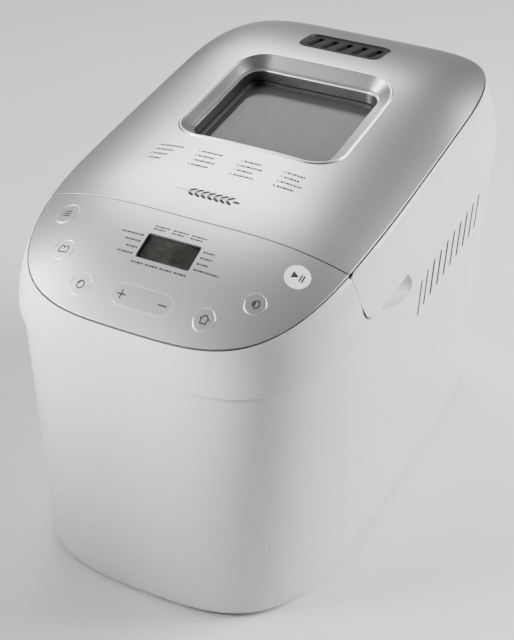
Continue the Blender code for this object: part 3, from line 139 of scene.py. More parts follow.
KEYS = (
    ("menu_key", -0.0910, -0.1394, 0.0092),
    ("loaf_size_key", -0.0750, -0.1699, 0.0081),
    ("dough_key", -0.0479, -0.1908, 0.0081),
    ("home_key", 0.0479, -0.1908, 0.0081),
    ("colour_key", 0.0750, -0.1699, 0.0081),
    ("start_key", 0.0910, -0.1394, 0.0092),
)                           # name, place and radius of the round keys
LIST_PLACE = (-0.0662, -0.0536)
LIST_STEP = (0.0348, 0.0058)
LIST_LENGTHS = (0.0200, 0.0150, 0.0120, 0.0095, 0.0170, 0.0135, 0.0165, 0.0150,
                0.0140, 0.0180, 0.0125, 0.0160, 0.0150, 0.0120, 0.0165, 0.0135)
MOTIF_Y = -0.0982
KNUCKLE_SIDE = 0.0145       # from the middle of a hinge to the knuckles beside it
GRILLE_HALF = (0.0362, 0.0172)
GRILLE_Y = 0.1380
GRILLE_RADIUS = 0.0080
GRILLE_SLOT_HALF = (0.0030, 0.0112)
GRILLE_SLOT_RADIUS = 0.0024
GRILLE_SLOT_STEP = 0.0132
GRILLE_SLOT_TURN = math.radians(-10)

# The inside
CHAMBER_Y = 0.035
CHAMBER_HALF = (0.095, 0.135)
CHAMBER_RADIUS = 0.022
CHAMBER_FLOOR = 0.0550
DECK_TOP = 0.2370
SHEET = 0.0008
PAN_HALF = (0.0695, 0.1215)
PAN_BOTTOM = 0.0720
PAN_TOP = 0.1900
HANDLE_Z = 0.1945
HANDLE_ARM = 0.0670
HANDLE_REACH = 0.1245
LUG_Y = 0.1190
SHAFT_Y = (CHAMBER_Y - 0.055, CHAMBER_Y + 0.055)
ELEMENT_Z = 0.0760
ELEMENT_X = 0.030           # where the element's ends turn to the rear wall
SENSOR = (-0.050, 0.120)
LINER_RISE = 0.2755
LINER_SLOPE = 0.045
LINER_EDGE = 0.2500
LINER_SHEET = 0.0010
LINER_SLOPES = ((0.0, 0.0), (0.12, 0.04), (0.3, 0.2), (0.5, 0.5), (0.7, 0.8), (0.88, 0.96), (1.0, 1.0))
PADDLE_BOTTOM = 0.0772
PADDLE_RISE = 0.0258

# Light and camera
WORLD_STRENGTH = 0.06
LIGHTS = (
    ("softbox_rear_left", 0.9, 0.9, 17.0, (-0.70, 0.89, 1.43), (0.0, 0.0, 0.3), 180),
    ("softbox_left", 0.45, 0.45, 6.8, (-0.95, -0.32, 0.98), (-0.05, -0.15, 0.26), 180),
    ("softbox_front", 0.30, 0.25, 2.3, (-0.42, -0.50, 0.46), (0.0, -0.20, 0.33), 60),
    ("softbox_right", 0.9, 1.2, 54.0, (1.25, 0.85, 0.80), (0.1, 0.0, 0.18), 180),
)                           # name, sizes, power, place, aim and spread in degrees
CAMERA_PLACE = (0.4204, -0.8522, 0.7744)
CAMERA_ALONG = (-0.3716, 0.7367, -0.5649)
CAMERA_ROLL = math.radians(0.37)
CAMERA_LENS = 78.75

# Points along the fine outlines
SEAM_COUNT = 36
SIDE_COUNT = 132
FRONT_COUNT = 96
BODY_COUNTS = (84, 3, 132)
DECK_COUNTS = (24, 96)


# Materials

def new_material(name, colour, roughness, metallic=0.0, **extra):
    made = bpy.data.materials.new(name)
    made.use_nodes = True
    shader = made.node_tree.nodes["Principled BSDF"]
    shader.inputs["Base Color"].default_value = (*colour, 1.0)
    shader.inputs["Roughness"].default_value = roughness
    shader.inputs["Metallic"].default_value = metallic
    for socket, value in extra.items():
        shader.inputs[socket.replace("_", " ")].default_value = value
    made.diffuse_color = (*colour, 1.0)
    return made


def noise(made, scale, detail=3.0, stretch=(1.0, 1.0, 1.0), space="Object"):
    """A noise texture's value, stretched along an axis, in the object's own space or along its UVs."""
    tree = made.node_tree
    where = tree.nodes.new("ShaderNodeTexCoord")
    mapping = tree.nodes.new("ShaderNodeMapping")
    mapping.inputs["Scale"].default_value = stretch
    texture = tree.nodes.new("ShaderNodeTexNoise")
    texture.inputs["Scale"].default_value = scale
    texture.inputs["Detail"].default_value = detail
    tree.links.new(where.outputs[space], mapping.inputs["Vector"])
    tree.links.new(mapping.outputs["Vector"], texture.inputs["Vector"])
    return texture.outputs["Fac"]


def vary_roughness(made, source, low, high):
    """Ties the gloss to a noise value."""
    tree = made.node_tree
    spread = tree.nodes.new("ShaderNodeMapRange")
    spread.inputs["From Min"].default_value = 0.3
    spread.inputs["From Max"].default_value = 0.7
    spread.inputs["To Min"].default_value = low
    spread.inputs["To Max"].default_value = high
    tree.links.new(source, spread.inputs["Value"])
    shader = tree.nodes["Principled BSDF"]
    tree.links.new(spread.outputs["Result"], shader.inputs["Roughness"])


def vary_colour(made, source, first, second, low=0.35, high=0.65):
    """Ties the colour to a noise value, between two colours."""
    tree = made.node_tree
    ramp = tree.nodes.new("ShaderNodeValToRGB")
    ramp.color_ramp.elements[0].position = low
    ramp.color_ramp.elements[0].color = (*first, 1.0)
    ramp.color_ramp.elements[1].position = high
    ramp.color_ramp.elements[1].color = (*second, 1.0)
    tree.links.new(source, ramp.inputs["Fac"])
    shader = tree.nodes["Principled BSDF"]
    tree.links.new(ramp.outputs["Color"], shader.inputs["Base Color"])


def add_bump(made, sources, distance):
    """Stacks bump from several (value, strength) sources."""
    tree = made.node_tree
    shader = tree.nodes["Principled BSDF"]
    normal = None
    for source, strength in sources:
        bump = tree.nodes.new("ShaderNodeBump")
        bump.inputs["Strength"].default_value = strength
        bump.inputs["Distance"].default_value = distance
        tree.links.new(source, bump.inputs["Height"])
        if normal is not None:
            tree.links.new(normal, bump.inputs["Normal"])
        normal = bump.outputs["Normal"]
    tree.links.new(normal, shader.inputs["Normal"])


def scaled(colour, factor):
    return tuple(channel * factor for channel in colour)


def moulded(name, colour, roughness, grain=700.0, strength=0.10, coat=0.0, shine=0.5):
    """Moulded plastic: a faint orange peel, a fine grain and slightly uneven gloss."""
    made = new_material(name, colour, roughness)
    shader = made.node_tree.nodes["Principled BSDF"]
    shader.inputs["Coat Weight"].default_value = coat
    shader.inputs["Coat Roughness"].default_value = 0.12
    shader.inputs["Specular IOR Level"].default_value = shine
    vary_colour(made, noise(made, 9.0), scaled(colour, 0.99), colour)
    vary_roughness(made, noise(made, 260.0), roughness * 0.95, roughness * 1.06)
    add_bump(made, [(noise(made, 160.0), strength * 0.2), (noise(made, grain), strength)], 0.00006)
    return made


def lacquered(name, colour, roughness):
    """Satin silver lacquer: metal flakes under a thin clear film."""
    made = new_material(name, colour, roughness, 0.92)
    vary_colour(made, noise(made, 5200.0, 2.0), scaled(colour, 0.93), scaled(colour, 1.05))
    vary_roughness(made, noise(made, 900.0), roughness * 0.96, roughness * 1.04)
    add_bump(made, [(noise(made, 3600.0, 2.0), 0.08)], 0.00005)
    return made


def brushed(name, colour, roughness, metallic=1.0, stretch=(0.02, 1.0, 1.0), scale=2600.0,
            space="Object", strength=0.22, contrast=1.0):
    """Brushed metal: long fine scratches along one direction."""
    made = new_material(name, colour, roughness, metallic)
    lines = noise(made, scale, 4.0, stretch, space)
    vary_colour(made, lines, scaled(colour, 1 - 0.14 * contrast), scaled(colour, 1 + 0.08 * contrast))
    vary_roughness(made, lines, roughness * (1 - 0.2 * contrast), roughness * (1 + 0.3 * contrast))
    add_bump(made, [(lines, strength)], 0.00010)
    return made


def coated(name, colour, roughness):
    """Non-stick coating with a fine speckle."""
    made = new_material(name, colour, roughness, 0.35)
    speckle = noise(made, 1500.0, 2.0)
    vary_colour(made, speckle, scaled(colour, 0.75), scaled(colour, 1.5), 0.45, 0.72)
    vary_roughness(made, noise(made, 70.0), roughness * 0.8, roughness * 1.25)
    add_bump(made, [(speckle, 0.25)], 0.0001)
    return made


def glass(name, colour, roughness, amount, index, streaks=0.0):
    """A clear or smoked pane, with faint long streaks if asked for."""
    made = new_material(name, colour, roughness, 0.0, Transmission_Weight=amount, IOR=index)
    if streaks:
        lines = noise(made, 420.0, 3.0, (1.0, 0.03, 1.0))
        vary_colour(made, lines, scaled(colour, 1.0 - streaks), scaled(colour, 1.0 + streaks))
    vary_roughness(made, noise(made, 55.0), roughness * 0.5, roughness * 1.8)
    return made


WHITE = moulded("white_casing", (0.70, 0.698, 0.702), 0.28, strength=0.04, coat=0.3)
# Painted shade: a darker white in the hollows of the finger scoops, standing in for the shade there.
SCOOP_SHADE = moulded("scoop_painted_shade", (0.56, 0.558, 0.562), 0.5, 1400.0, 0.15)
WHITE_INNER = moulded("white_inner", (0.76, 0.76, 0.75), 0.42, strength=0.2)
SILVER = lacquered("silver_panel", (0.62, 0.617, 0.608), 0.36)
KEY_SILVER = lacquered("keycap", (0.63, 0.627, 0.618), 0.34)
BEZEL = brushed("bright_bezel", (0.84, 0.84, 0.85), 0.30, 1.0, (0.012, 1.0, 1.0), 5200.0, "UV", 0.05, 0.3)
SLEEVE = brushed("bezel_sleeve", (0.085, 0.085, 0.086), 0.38, 0.8, (0.012, 1.0, 1.0), 5200.0, "UV", 0.05, 0.5)
DARK = moulded("dark_plastic", (0.022, 0.0215, 0.021), 0.55, strength=0.3, shine=0.22)
RUBBER = moulded("rubber", (0.022, 0.022, 0.022), 0.7, 900.0, 0.5)
# Painted shade: dark plastic on the recess floors and the cut sides of the silver plates, standing in for the
# shadow in the gaps.
GAP_SHADE = moulded("gap_painted_shade", (0.085, 0.084, 0.083), 0.6, shine=0.3)
RING = lacquered("key_ring", (0.78, 0.78, 0.78), 0.40)
PALE = moulded("start_keycap", (0.80, 0.80, 0.815), 0.34)
PRINT = moulded("print_ink", (0.030, 0.029, 0.029), 0.6, strength=0.1, shine=0.15)
STEEL = brushed("steel", (0.60, 0.60, 0.60), 0.30)
STEEL_UPRIGHT = brushed("chamber_steel", (0.55, 0.55, 0.55), 0.33, stretch=(1.0, 1.0, 0.02))
LINER_STEEL = brushed("liner_steel", (0.50, 0.50, 0.495), 0.34, stretch=(1.0, 0.02, 1.0), scale=900.0)
HEATER = brushed("heater_sheath", (0.115, 0.10, 0.095), 0.45, 0.7)
TIN = coated("coated_tin", (0.085, 0.085, 0.09), 0.38)
WIRE = brushed("handle_wire", (0.56, 0.56, 0.56), 0.26)
# Grey plastic for the base plate and the hinge brackets; also painted shade on the walls of the cooling
# slots.
GREY_AND_SLOT_SHADE = moulded("grey_plastic", (0.25, 0.25, 0.25), 0.48, strength=0.3)
CAST = coated("cast_metal", (0.38, 0.38, 0.39), 0.5)
BRONZE = brushed("bronze_bush", (0.56, 0.38, 0.17), 0.36)
NYLON = moulded("nylon", (0.72, 0.70, 0.64), 0.45)
BOARD = moulded("circuit_board", (0.03, 0.17, 0.07), 0.42, 1400.0, 0.3)
CERAMIC = moulded("ceramic", (0.76, 0.74, 0.69), 0.62, 1000.0, 0.4)
DISPLAY = moulded("display", (0.040, 0.041, 0.037), 0.4, 1800.0, 0.05)
SEGMENT = moulded("segment", (0.012, 0.012, 0.011), 0.4, 1800.0, 0.05)
GLASS = glass("window_glass", (0.085, 0.084, 0.081), 0.05, 0.22, 1.2, 0.07)
INNER_GLASS = glass("inner_glass", (0.62, 0.62, 0.615), 0.05, 0.95, 1.12)
LENS = glass("display_window", (0.70, 0.70, 0.69), 0.04, 1.0, 1.08)
FLOOR = moulded("floor_paper", (0.84, 0.84, 0.84), 0.85, 90.0, 0.02)


# Mesh helpers

def finish_mesh(name, shape, made, body, smooth_angle=38, slot=None, replaced=()):
    mesh = bpy.data.meshes.new(name)
    shape.to_mesh(mesh)
    shape.free()
    for item in (made if isinstance(made, (list, tuple)) else [made]):
        mesh.materials.append(item)
    mesh.shade_smooth()
    mesh.set_sharp_from_angle(angle=math.radians(smooth_angle))
    item = bpy.data.objects.new(name, mesh)
    bpy.context.scene.collection.objects.link(item)
    if body:
        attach(item, body)
    if replaced:
        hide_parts(*replaced)
    return item


def skin(rings, joined=False, mark_uv=False):
    """A bmesh through rings of equal length; its UVs run along and across the rings in metres."""
    shape = bmesh.new()
    rows = [[shape.verts.new(tuple(map(float, point))) for point in ring] for ring in rings]
    count = len(rows[0])
    pairs = list(zip(rows, rows[1:]))
    if joined:
        pairs.append((rows[-1], rows[0]))
    layer = shape.loops.layers.uv.new("along") if mark_uv else None
    across = 0.0
    for low, high in pairs:
        along = 0.0
        step = (low[0].co - high[0].co).length
        for i in range(count):
            j = (i + 1) % count
            face = shape.faces.new((low[i], low[j], high[j], high[i]))
            if layer:
                width = (low[i].co - low[j].co).length
                places = ((along, across), (along + width, across),
                          (along + width, across + step), (along, across + step))
                for loop, place in zip(face.loops, places):
                    loop[layer].uv = place
                along += width
        across += step
    if not joined:
        shape.faces.new(rows[0][::-1])
        shape.faces.new(rows[-1])
    bmesh.ops.recalc_face_normals(shape, faces=shape.faces)
    return shape


def loft(name, rings, made, body, joined=False, mark_uv=False, **rest):
    return finish_mesh(name, skin(rings, joined, mark_uv), made, body, **rest)


def loft_halves(name, halves, made, body, **rest):
    """A loft through rings of which only the right halves are given."""
    return loft(name, [mirrored(half) for half in halves], made, body, **rest)


def fillet(points, radii, steps=5):
    """A 2-D profile with its corners rounded; radii belong to the points, 0 for a sharp one."""
    made = []
    for i, (point, radius) in enumerate(zip(points, radii)):
        here = np.array(point, float)
        if radius == 0.0:
            made.append(here)
            continue
        before = np.array(points[i - 1], float) - here
        after = np.array(points[(i + 1) % len(points)], float) - here
        reach = min(radius, 0.49 * np.hypot(*before), 0.49 * np.hypot(*after))
        start = here + before / np.hypot(*before) * reach
        end = here + after / np.hypot(*after) * reach
        for share in np.linspace(0.0, 1.0, steps):
            first = start + (here - start) * share
            made.append(first + (here + (end - here) * share - first) * share)
    return made


def circle(x, y, radius, count):
    return [(x + radius * math.cos(a), y + radius * math.sin(a))
            for a in np.linspace(0, 2 * math.pi, count, endpoint=False)]


def turned(name, profile, made, body, centre, joined=False, **rest):
    """A round piece on an upright axis, from its (radius, height) profile."""
    rings = [at_height(circle(*centre, radius, 64), z) for radius, z in profile]
    return loft(name, rings, made, body, joined=joined, **rest)


def rounded_rectangle(half_x, half_y, radius, centre=(0.0, 0.0), steps=14, straight=10):
    """Outline with round corners and a few points along each straight side."""
    points = []
    for corner in range(4):
        sign_x, sign_y = ((1, -1), (1, 1), (-1, 1), (-1, -1))[corner]
        for step in range(steps + 1):
            angle = math.radians(-90 + 90 * corner + 90 * step / steps)
            points.append((
                centre[0] + sign_x * (half_x - radius) + radius * math.cos(angle),
                centre[1] + sign_y * (half_y - radius) + radius * math.sin(angle),
            ))
        last = points[-1]
        turn_x, turn_y = ((0, 1), (-1, 0), (0, -1), (1, 0))[corner]
        length = 2 * ((half_y if turn_y else half_x) - radius)
        for step in range(1, straight):
            share = length * step / straight
            points.append((last[0] + turn_x * share, last[1] + turn_y * share))
    return points


def between(first, second, share):
    return first + (second - first) * share


def at_height(points, height):
    return [(x, y, height) for x, y in points]


def apply_booleans(target, steps, sharp_angle=28):
    """Runs (operation, tool) steps on the mesh for good, removes the tools and marks the sharp edges."""
    for operation, tool in steps:
        modifier = target.modifiers.new(operation.lower(), "BOOLEAN")
        modifier.operation = operation
        modifier.solver = "EXACT"
        modifier.object = tool
    bpy.context.view_layer.update()
    graph = bpy.context.evaluated_depsgraph_get()
    mesh = bpy.data.meshes.new_from_object(target.evaluated_get(graph))
    target.modifiers.clear()
    target.data = mesh
    mesh.name = target.name
    for _, tool in steps:
        bpy.data.objects.remove(tool)
    mesh.set_sharp_from_angle(angle=math.radians(sharp_angle))


def merged(shapes):
    """One bmesh out of several, which are freed."""
    whole = bmesh.new()
    for shape in shapes:
        mesh = bpy.data.meshes.new("merged_part")
        shape.to_mesh(mesh)
        shape.free()
        whole.from_mesh(mesh)
        bpy.data.meshes.remove(mesh)
    return whole


def joined_tool(name, shapes):
    return finish_mesh(name, merged(shapes), WHITE, None)


# The casing's formulas, as in the frame

def ramp(value, start, end):
    """0 up to the start, 1 from the end on; the end may be the lower of the two."""
    return np.clip((value - start) / (end - start), 0.0, 1.0)


def eased(share):
    return share * share * (3.0 - 2.0 * share)


def rim_height(y):
    front = np.maximum(0.0, FRONT_DROOP_FROM - y)
    rear = np.maximum(0.0, y - REAR_DROOP_FROM)
    return RIM_HEIGHT + RIM_SLOPE * y - FRONT_DROOP * front ** 2 - REAR_DROOP * rear ** 2


def part_height(y):
    front = np.maximum(0.0, FRONT_DROOP_FROM - y)
    return PART_HEIGHT + PART_SLOPE * y - 0.6 * FRONT_DROOP * front ** 2


def top_height(x, y):
    share = eased(ramp(y, MIDDLE - CROWN_BLEND, MIDDLE + CROWN_BLEND))
    power = between(FRONT_POWERS[0], REAR_POWERS[0], share)
    ahead = (np.maximum(0.0, MIDDLE - y) / (MIDDLE - FRONT)) ** FRONT_POWERS[1]
    behind = (np.maximum(0.0, y - MIDDLE) / (RIM_REAR - MIDDLE)) ** REAR_POWERS[1]
    reach = np.clip((np.abs(x) / RIM_HALF) ** power + ahead + behind, 0.0, 1.0)
    return rim_height(y) + CROWN * (1.0 - reach ** CROWN_POWER)


def top_normal(x, y):
    step = 0.0004
    slope_x = (top_height(x + step, y) - top_height(x - step, y)) / (2 * step)
    slope_y = (top_height(x, y + step) - top_height(x, y - step)) / (2 * step)
    return Vector((-float(slope_x), -float(slope_y), 1.0)).normalized()


def skirt_height(y):
    ahead = ramp(y, TONGUE_Y, TONGUE_Y - TONGUE_REACH)
    edge = np.minimum(SKIRT_REAR, SKIRT_FRONT + SKIRT_RISE * (y - SKIRT_FRONT_Y))
    return edge + TONGUE_RISE * (1.0 - np.sqrt(1.0 - ahead ** 2))


def half_curve(half, front, middle, rear, front_powers, rear_powers):
    """Dense right half of a plan outline, from the front centre to the rear centre."""
    turn = np.linspace(0.0, math.pi / 2, 900)
    sine, cosine = np.sin(turn), np.cos(turn)
    cosine[-1] = 0.0
    front_x = half * sine ** (2 / front_powers[0])
    front_y = middle - (middle - front) * cosine ** (2 / front_powers[1])
    rear_x = half * cosine ** (2 / rear_powers[0])
    rear_y = middle + (rear - middle) * sine ** (2 / rear_powers[1])
    return np.stack([np.r_[front_x, rear_x[1:]], np.r_[front_y, rear_y[1:]]], axis=1)


def resample(points, count):
    points = np.asarray(points)
    steps = np.hypot(*np.diff(points, axis=0).T)
    length = np.r_[0.0, np.cumsum(steps)]
    wanted = np.linspace(0.0, length[-1], count + 1)
    return np.stack([np.interp(wanted, length, points[:, i]) for i in (0, 1)], axis=1)


def mirrored(half):
    """A whole ring from its right half, which starts and ends on the middle plane."""
    half = np.asarray(half)
    left = half[-2:0:-1] * np.array([-1.0, 1.0, 1.0])
    return np.concatenate([half, left])


def band_curve(offset):
    return half_curve(
        RIM_HALF + offset, FRONT - FRONT_SHARE * offset, MIDDLE, RIM_REAR + offset,
        FRONT_POWERS, REAR_POWERS,
    )


def band_offset(y, z):
    return BAND_OFFSET * np.sin(math.pi / 2 * ramp(z, rim_height(y), part_height(y)))


def split_at_seam(curve, z, gap):
    y_end = SEAM_END + SEAM_LEAN * (float(rim_height(SEAM_END)) - z) + gap
    side = curve[: len(curve) // 2 + 1]
    x_end = float(np.interp(y_end, side[:, 1], side[:, 0]))
    end = np.array([[x_end, y_end]])
    return x_end, np.r_[curve[curve[:, 1] < y_end], end], np.r_[end, curve[curve[:, 1] > y_end]]


def seam_points(x_end, z, gap):
    x = np.linspace(0.0, x_end, SEAM_COUNT + 1)
    top = SEAM_END - SEAM_BOW * (1 - (x / x_end) ** 2)
    lean = 0.0 if z is None else SEAM_LEAN * (top_height(x, top) - z)
    return np.stack([x, top + lean + gap], axis=1)


def lid_half(offset, z, inset=0.0):
    level = float(rim_height(SEAM_END)) if z is None else z
    x_end, _, behind = split_at_seam(band_curve(offset), level, SEAM_GAP + inset)
    seam = seam_points(x_end, z, SEAM_GAP + inset)
    seam[-1] = behind[0]
    return np.r_[seam, resample(behind, SIDE_COUNT)[1:]]


def front_half(offset, z, inset=0.0):
    level = float(rim_height(SEAM_END)) if z is None else z
    x_end, ahead, _ = split_at_seam(band_curve(offset), level, -SEAM_GAP - inset)
    seam = seam_points(x_end, z, -SEAM_GAP - inset)
    seam[-1] = ahead[-1]
    return np.r_[resample(ahead, FRONT_COUNT), seam[::-1][1:]]


def opening_half(half, radius, low, high, steps, counts):
    """Even points along the right half of a rounded opening, from its front to its rear centre."""
    turns = np.radians(np.linspace(0, 90, 2 * steps + 1))
    front_arc = [(half - radius + radius * math.sin(a), low + radius - radius * math.cos(a))
                 for a in turns]
    rear_arc = [(half - radius + radius * math.cos(a), high - radius + radius * math.sin(a))
                for a in turns]
    first = np.array([(0.0, low), *front_arc[:steps + 1]])
    second = np.array([*front_arc[steps:], *rear_arc, (0.0, high)])
    return np.r_[resample(first, counts[0]), resample(second, counts[1])[1:]]


def window_half(grow=0.0):
    return opening_half(WINDOW_HALF + grow, WINDOW_RADIUS + grow, WINDOW_FRONT - grow,
                        WINDOW_REAR + grow, 20, (SEAM_COUNT, SIDE_COUNT))


def with_height(half, height):
    half = np.asarray(half)
    z = height(half[:, 0], half[:, 1]) if callable(height) else np.full(len(half), height)
    return np.c_[half, z]


def below_top(drop):
    return lambda x, y: top_height(x, y) - drop


def window_plane(drop):
    low = float(top_height(0.0, WINDOW_FRONT))
    high = float(top_height(0.0, WINDOW_REAR))
    slope = (high - low) / (WINDOW_REAR - WINDOW_FRONT)
    return lambda x, y: low + slope * (y - WINDOW_FRONT) - drop


def window_ring(grow, drop):
    """A ring of the window's size plus a margin, below the plane of the window's edge."""
    return with_height(window_half(grow), window_plane(drop))


def shade_by_formula(item, agreement=0.97):
    """Gives the top faces the exact normals of the crowned surface, so that cuts don't show in it."""
    mesh = item.data
    normals = [None] * len(mesh.loops)
    corner = mesh.corner_normals
    for loop in mesh.loops:
        point = mesh.vertices[loop.vertex_index].co
        exact = top_normal(point.x, point.y)
        current = Vector(corner[loop.index].vector)
        normals[loop.index] = exact if current.dot(exact) > agreement else current
    mesh.normals_split_custom_set(normals)


# Lower body

def crease_height(y):
    """Lower edge of the shallow recess that holds the cooling slots."""
    return 0.1706 + 0.0826 * y


def body_top(y):
    """Upper edge: under the front housing, up a step, then under the lid's skirt."""
    step = eased(ramp(y, LEDGE_START, LEDGE_END))
    corner = CORNER_RELIEF * ramp(y, -0.098, -0.110)
    rear = REAR_RELIEF * ramp(y, 0.165, 0.190)
    return between(part_height(y) - PARTING_GAP, skirt_height(y) - SKIRT_GAP - corner - rear, step)


def body_points(curve):
    """Even points along a body outline, with more of them where its upper edge rises."""
    side = curve[: len(curve) // 2 + 1]
    ends = [[np.interp(y, side[:, 1], side[:, 0]), y] for y in (LEDGE_START, LEDGE_END)]
    front = np.r_[curve[curve[:, 1] < LEDGE_START], [ends[0]]]
    rear = np.r_[[ends[1]], curve[curve[:, 1] > LEDGE_END]]
    pieces = [resample(*pair) for pair in zip((front, ends, rear), BODY_COUNTS)]
    return np.r_[pieces[0], pieces[1][1:], pieces[2][1:]]


def body_ring(height, inset):
    """A ring of the lower body; height(y) gives its z, inset moves it inwards."""
    base = body_points(half_curve(BASE[0] - inset, BASE[1] + inset, BASE[2], BASE[3] - inset,
                                  *BASE[4:]))
    shoulder = body_points(half_curve(SHOULDER[0] - inset, SHOULDER[1] + inset, SHOULDER[2],
                                      SHOULDER[3] - inset, *SHOULDER[4:]))
    z = np.broadcast_to(height(shoulder[:, 1]), len(shoulder)).astype(float)
    share = np.clip(z / SHOULDER_HEIGHT, 0.0, 1.0)[:, None]
    return np.c_[base + (shoulder - base) * share, z]


def parting_groove(height, depth):
    """A ring whose sides are pressed in behind the front housing, where the parting line runs on."""
    ring = body_ring(height, 0.0)
    y = ring[:, 1]
    ring[:, 0] -= depth * ramp(y, -0.082, -0.102) * (y > LEDGE_END)
    return ring


def press_recess(ring):
    """Presses the slots' recess into the sides, and swells them out under the lid's front corner."""
    x, y, z = ring.T
    over_crease, over_parting = z - crease_height(y), z - part_height(y)
    depth = SLOT_RECESS * ramp(over_crease, 0.0, 0.0022)
    depth = depth * eased(ramp(y, -0.020, 0.010)) * eased(ramp(y, 0.140, 0.118))
    flush = TONGUE_SWELL - (BAND_OFFSET - band_offset(y, z)) - TONGUE_LEAN * over_parting
    swell = flush * ramp(over_parting, 0.0, 0.0008) * (y > LEDGE_START) * eased(ramp(y, -0.086, -0.112))
    pressed = ring.copy()
    pressed[:, 0] = np.where(x > 0.09, x - depth + swell, x)
    return pressed


def scoop_shape(side):
    shape = bmesh.new()
    bmesh.ops.create_uvsphere(shape, u_segments=72, v_segments=48, radius=1.0)
    bmesh.ops.scale(shape, vec=SCOOP_SIZE, verts=shape.verts)
    bmesh.ops.rotate(shape, cent=(0.0, 0.0, 0.0), matrix=Matrix.Rotation(SCOOP_TILT, 3, "X"),
                     verts=shape.verts)
    bmesh.ops.translate(shape, vec=(side * SCOOP_CENTRE[0], *SCOOP_CENTRE[1:]), verts=shape.verts)
    return shape


def on_scoop(x, y, z):
    """Whether a point lies on the hollow surface of a finger scoop."""
    away = Matrix.Rotation(-SCOOP_TILT, 3, "X") @ (Vector((abs(x), y, z)) - Vector(SCOOP_CENTRE))
    return abs(Vector(a / b for a, b in zip(away, SCOOP_SIZE)).length - 1.0) < 0.04


def slot_shape(side, index):
    """One upright cooling slot with round ends."""
    y = SLOT_FIRST[0] + SLOT_STEP[0] * index
    bottom = SLOT_FIRST[1] + SLOT_STEP[1] * index
    points = []
    for centre, start in ((bottom + SLOT_LENGTH - SLOT_RADIUS, 0), (bottom + SLOT_RADIUS, 180)):
        for step in range(9):
            angle = math.radians(start + 180 * step / 8)
            points.append((y + SLOT_RADIUS * math.cos(angle), centre + SLOT_RADIUS * math.sin(angle)))
    return skin([[(side * x, py, pz) for py, pz in points] for x in (0.120, 0.145)])


def box_shape(low, high):
    corners = [(low[0], low[1]), (high[0], low[1]), (high[0], high[1]), (low[0], high[1])]
    return skin([at_height(corners, low[2]), at_height(corners, high[2])])


def groove_edge(y, below, rise):
    """Height of a ring of the parting groove, under the body's upper edge."""
    return np.minimum(body_top(y) - below, part_height(y) + rise)


def outer_rings():
    """Rings up the outside of the body, from its rounded foot to its upper edge."""
    foot_top = BODY_BOTTOM + FOOT_RADIUS
    rings = [body_ring(lambda y: BODY_BOTTOM + FOOT_RADIUS * (1 - math.cos(a)),
                       FOOT_RADIUS * (1 - math.sin(a)))
             for a in np.radians((0, 20, 40, 60, 80, 90))]
    rings += [body_ring(lambda y: between(foot_top, crease_height(y), share), 0.0)
              for share in np.linspace(0.04, 1.0, 18)]
    rings += [body_ring(lambda y: between(crease_height(y), groove_edge(y, 0.0012, -0.0009), share), 0.0)
              for share in (0.016, 0.032, 0.048, 0.08, 0.16, 0.32, 0.5, 0.7, 0.86, 0.95)]
    rings += [parting_groove(lambda y: groove_edge(y, below, rise), depth)
              for below, rise, depth in ((0.0011, -0.0006, 0.0), (0.0009, -0.0003, 0.0006),
                                         (0.0007, 0.0001, 0.0006), (0.0005, 0.0004, 0.0))]
    rings += [body_ring(lambda y: between(groove_edge(y, 0.0005, 0.0004), body_top(y) - 0.0003, share), 0.0)
              for share in (0.3, 0.6, 0.9)]
    rings += [body_ring(lambda y: body_top(y) - 0.0002, 0.0002), body_ring(body_top, 0.0006)]
    return [press_recess(ring) for ring in rings]


def paint_hollow_shade(body):
    """Paints shade on the slots' walls (grey) and in the finger scoops (a darker white), where shade falls.
    """
    for face in body.data.polygons:
        x, y, z = face.center
        upright = abs(face.normal.x) < 0.6 and abs(x) > 0.125
        if upright and -0.016 < y < 0.120 and crease_height(y) + 0.004 < z < body_top(y) - 0.004:
            face.material_index = 2
        if on_scoop(x, y, z):
            face.material_index = 3


def lower_body():
    inner = [
        body_ring(body_top, WALL),
        body_ring(crease_height, WALL + 0.0006),
        body_ring(lambda y: BODY_BOTTOM + 0.004, WALL),
        body_ring(lambda y: BODY_BOTTOM, WALL + 0.0015),
    ]
    body = loft_halves("lower_body_shell", outer_rings() + inner, [WHITE, WHITE_INNER, GREY_AND_SLOT_SHADE, SCOOP_SHADE],
                       "body", joined=True, slot="white_casing", replaced=["lower_body"])
    sides = (-1, 1)
    blocks = [skin([[(side * x, y, z) for x, y in SCOOP_BACKING] for z in SCOOP_BACKING_HEIGHTS])
              for side in sides]
    scoops = [scoop_shape(side) for side in sides]
    slots = [slot_shape(side, i) for side in sides for i in range(SLOT_COUNT)]
    inlet = skin([[(x, y, z) for x, z in circle(*INLET, INLET_RADIUS, 48)] for y in (0.20, 0.22)])
    apply_booleans(body, [
        ("UNION", joined_tool("scoop_blocks", blocks)),
        ("DIFFERENCE", joined_tool("scoop_tool", scoops)),
        ("DIFFERENCE", joined_tool("slot_tool", slots + [inlet])),
    ])
    paint_hollow_shade(body)


# Front housing, fascia and display

def seam_band(outline, bottom, seam_part, shares):
    """Rings up the white band, from its lower edge to just under the rim."""
    rings = []
    top = float(rim_height(SEAM_END))
    level = float(bottom(np.array(SEAM_END)))
    for share in shares:
        z_seam = level + (top - level) * share
        plan = outline(0.0, z_seam)
        low = bottom(plan[:, 1])
        z = low + (rim_height(plan[:, 1]) - low) * share
        offsets = band_offset(plan[:, 1], z)
        wide = outline(BAND_OFFSET, z_seam)
        plan = plan + (wide - plan) * (offsets / BAND_OFFSET)[:, None]
        z[seam_part] = z_seam
        rings.append(np.c_[plan, z])
    return rings


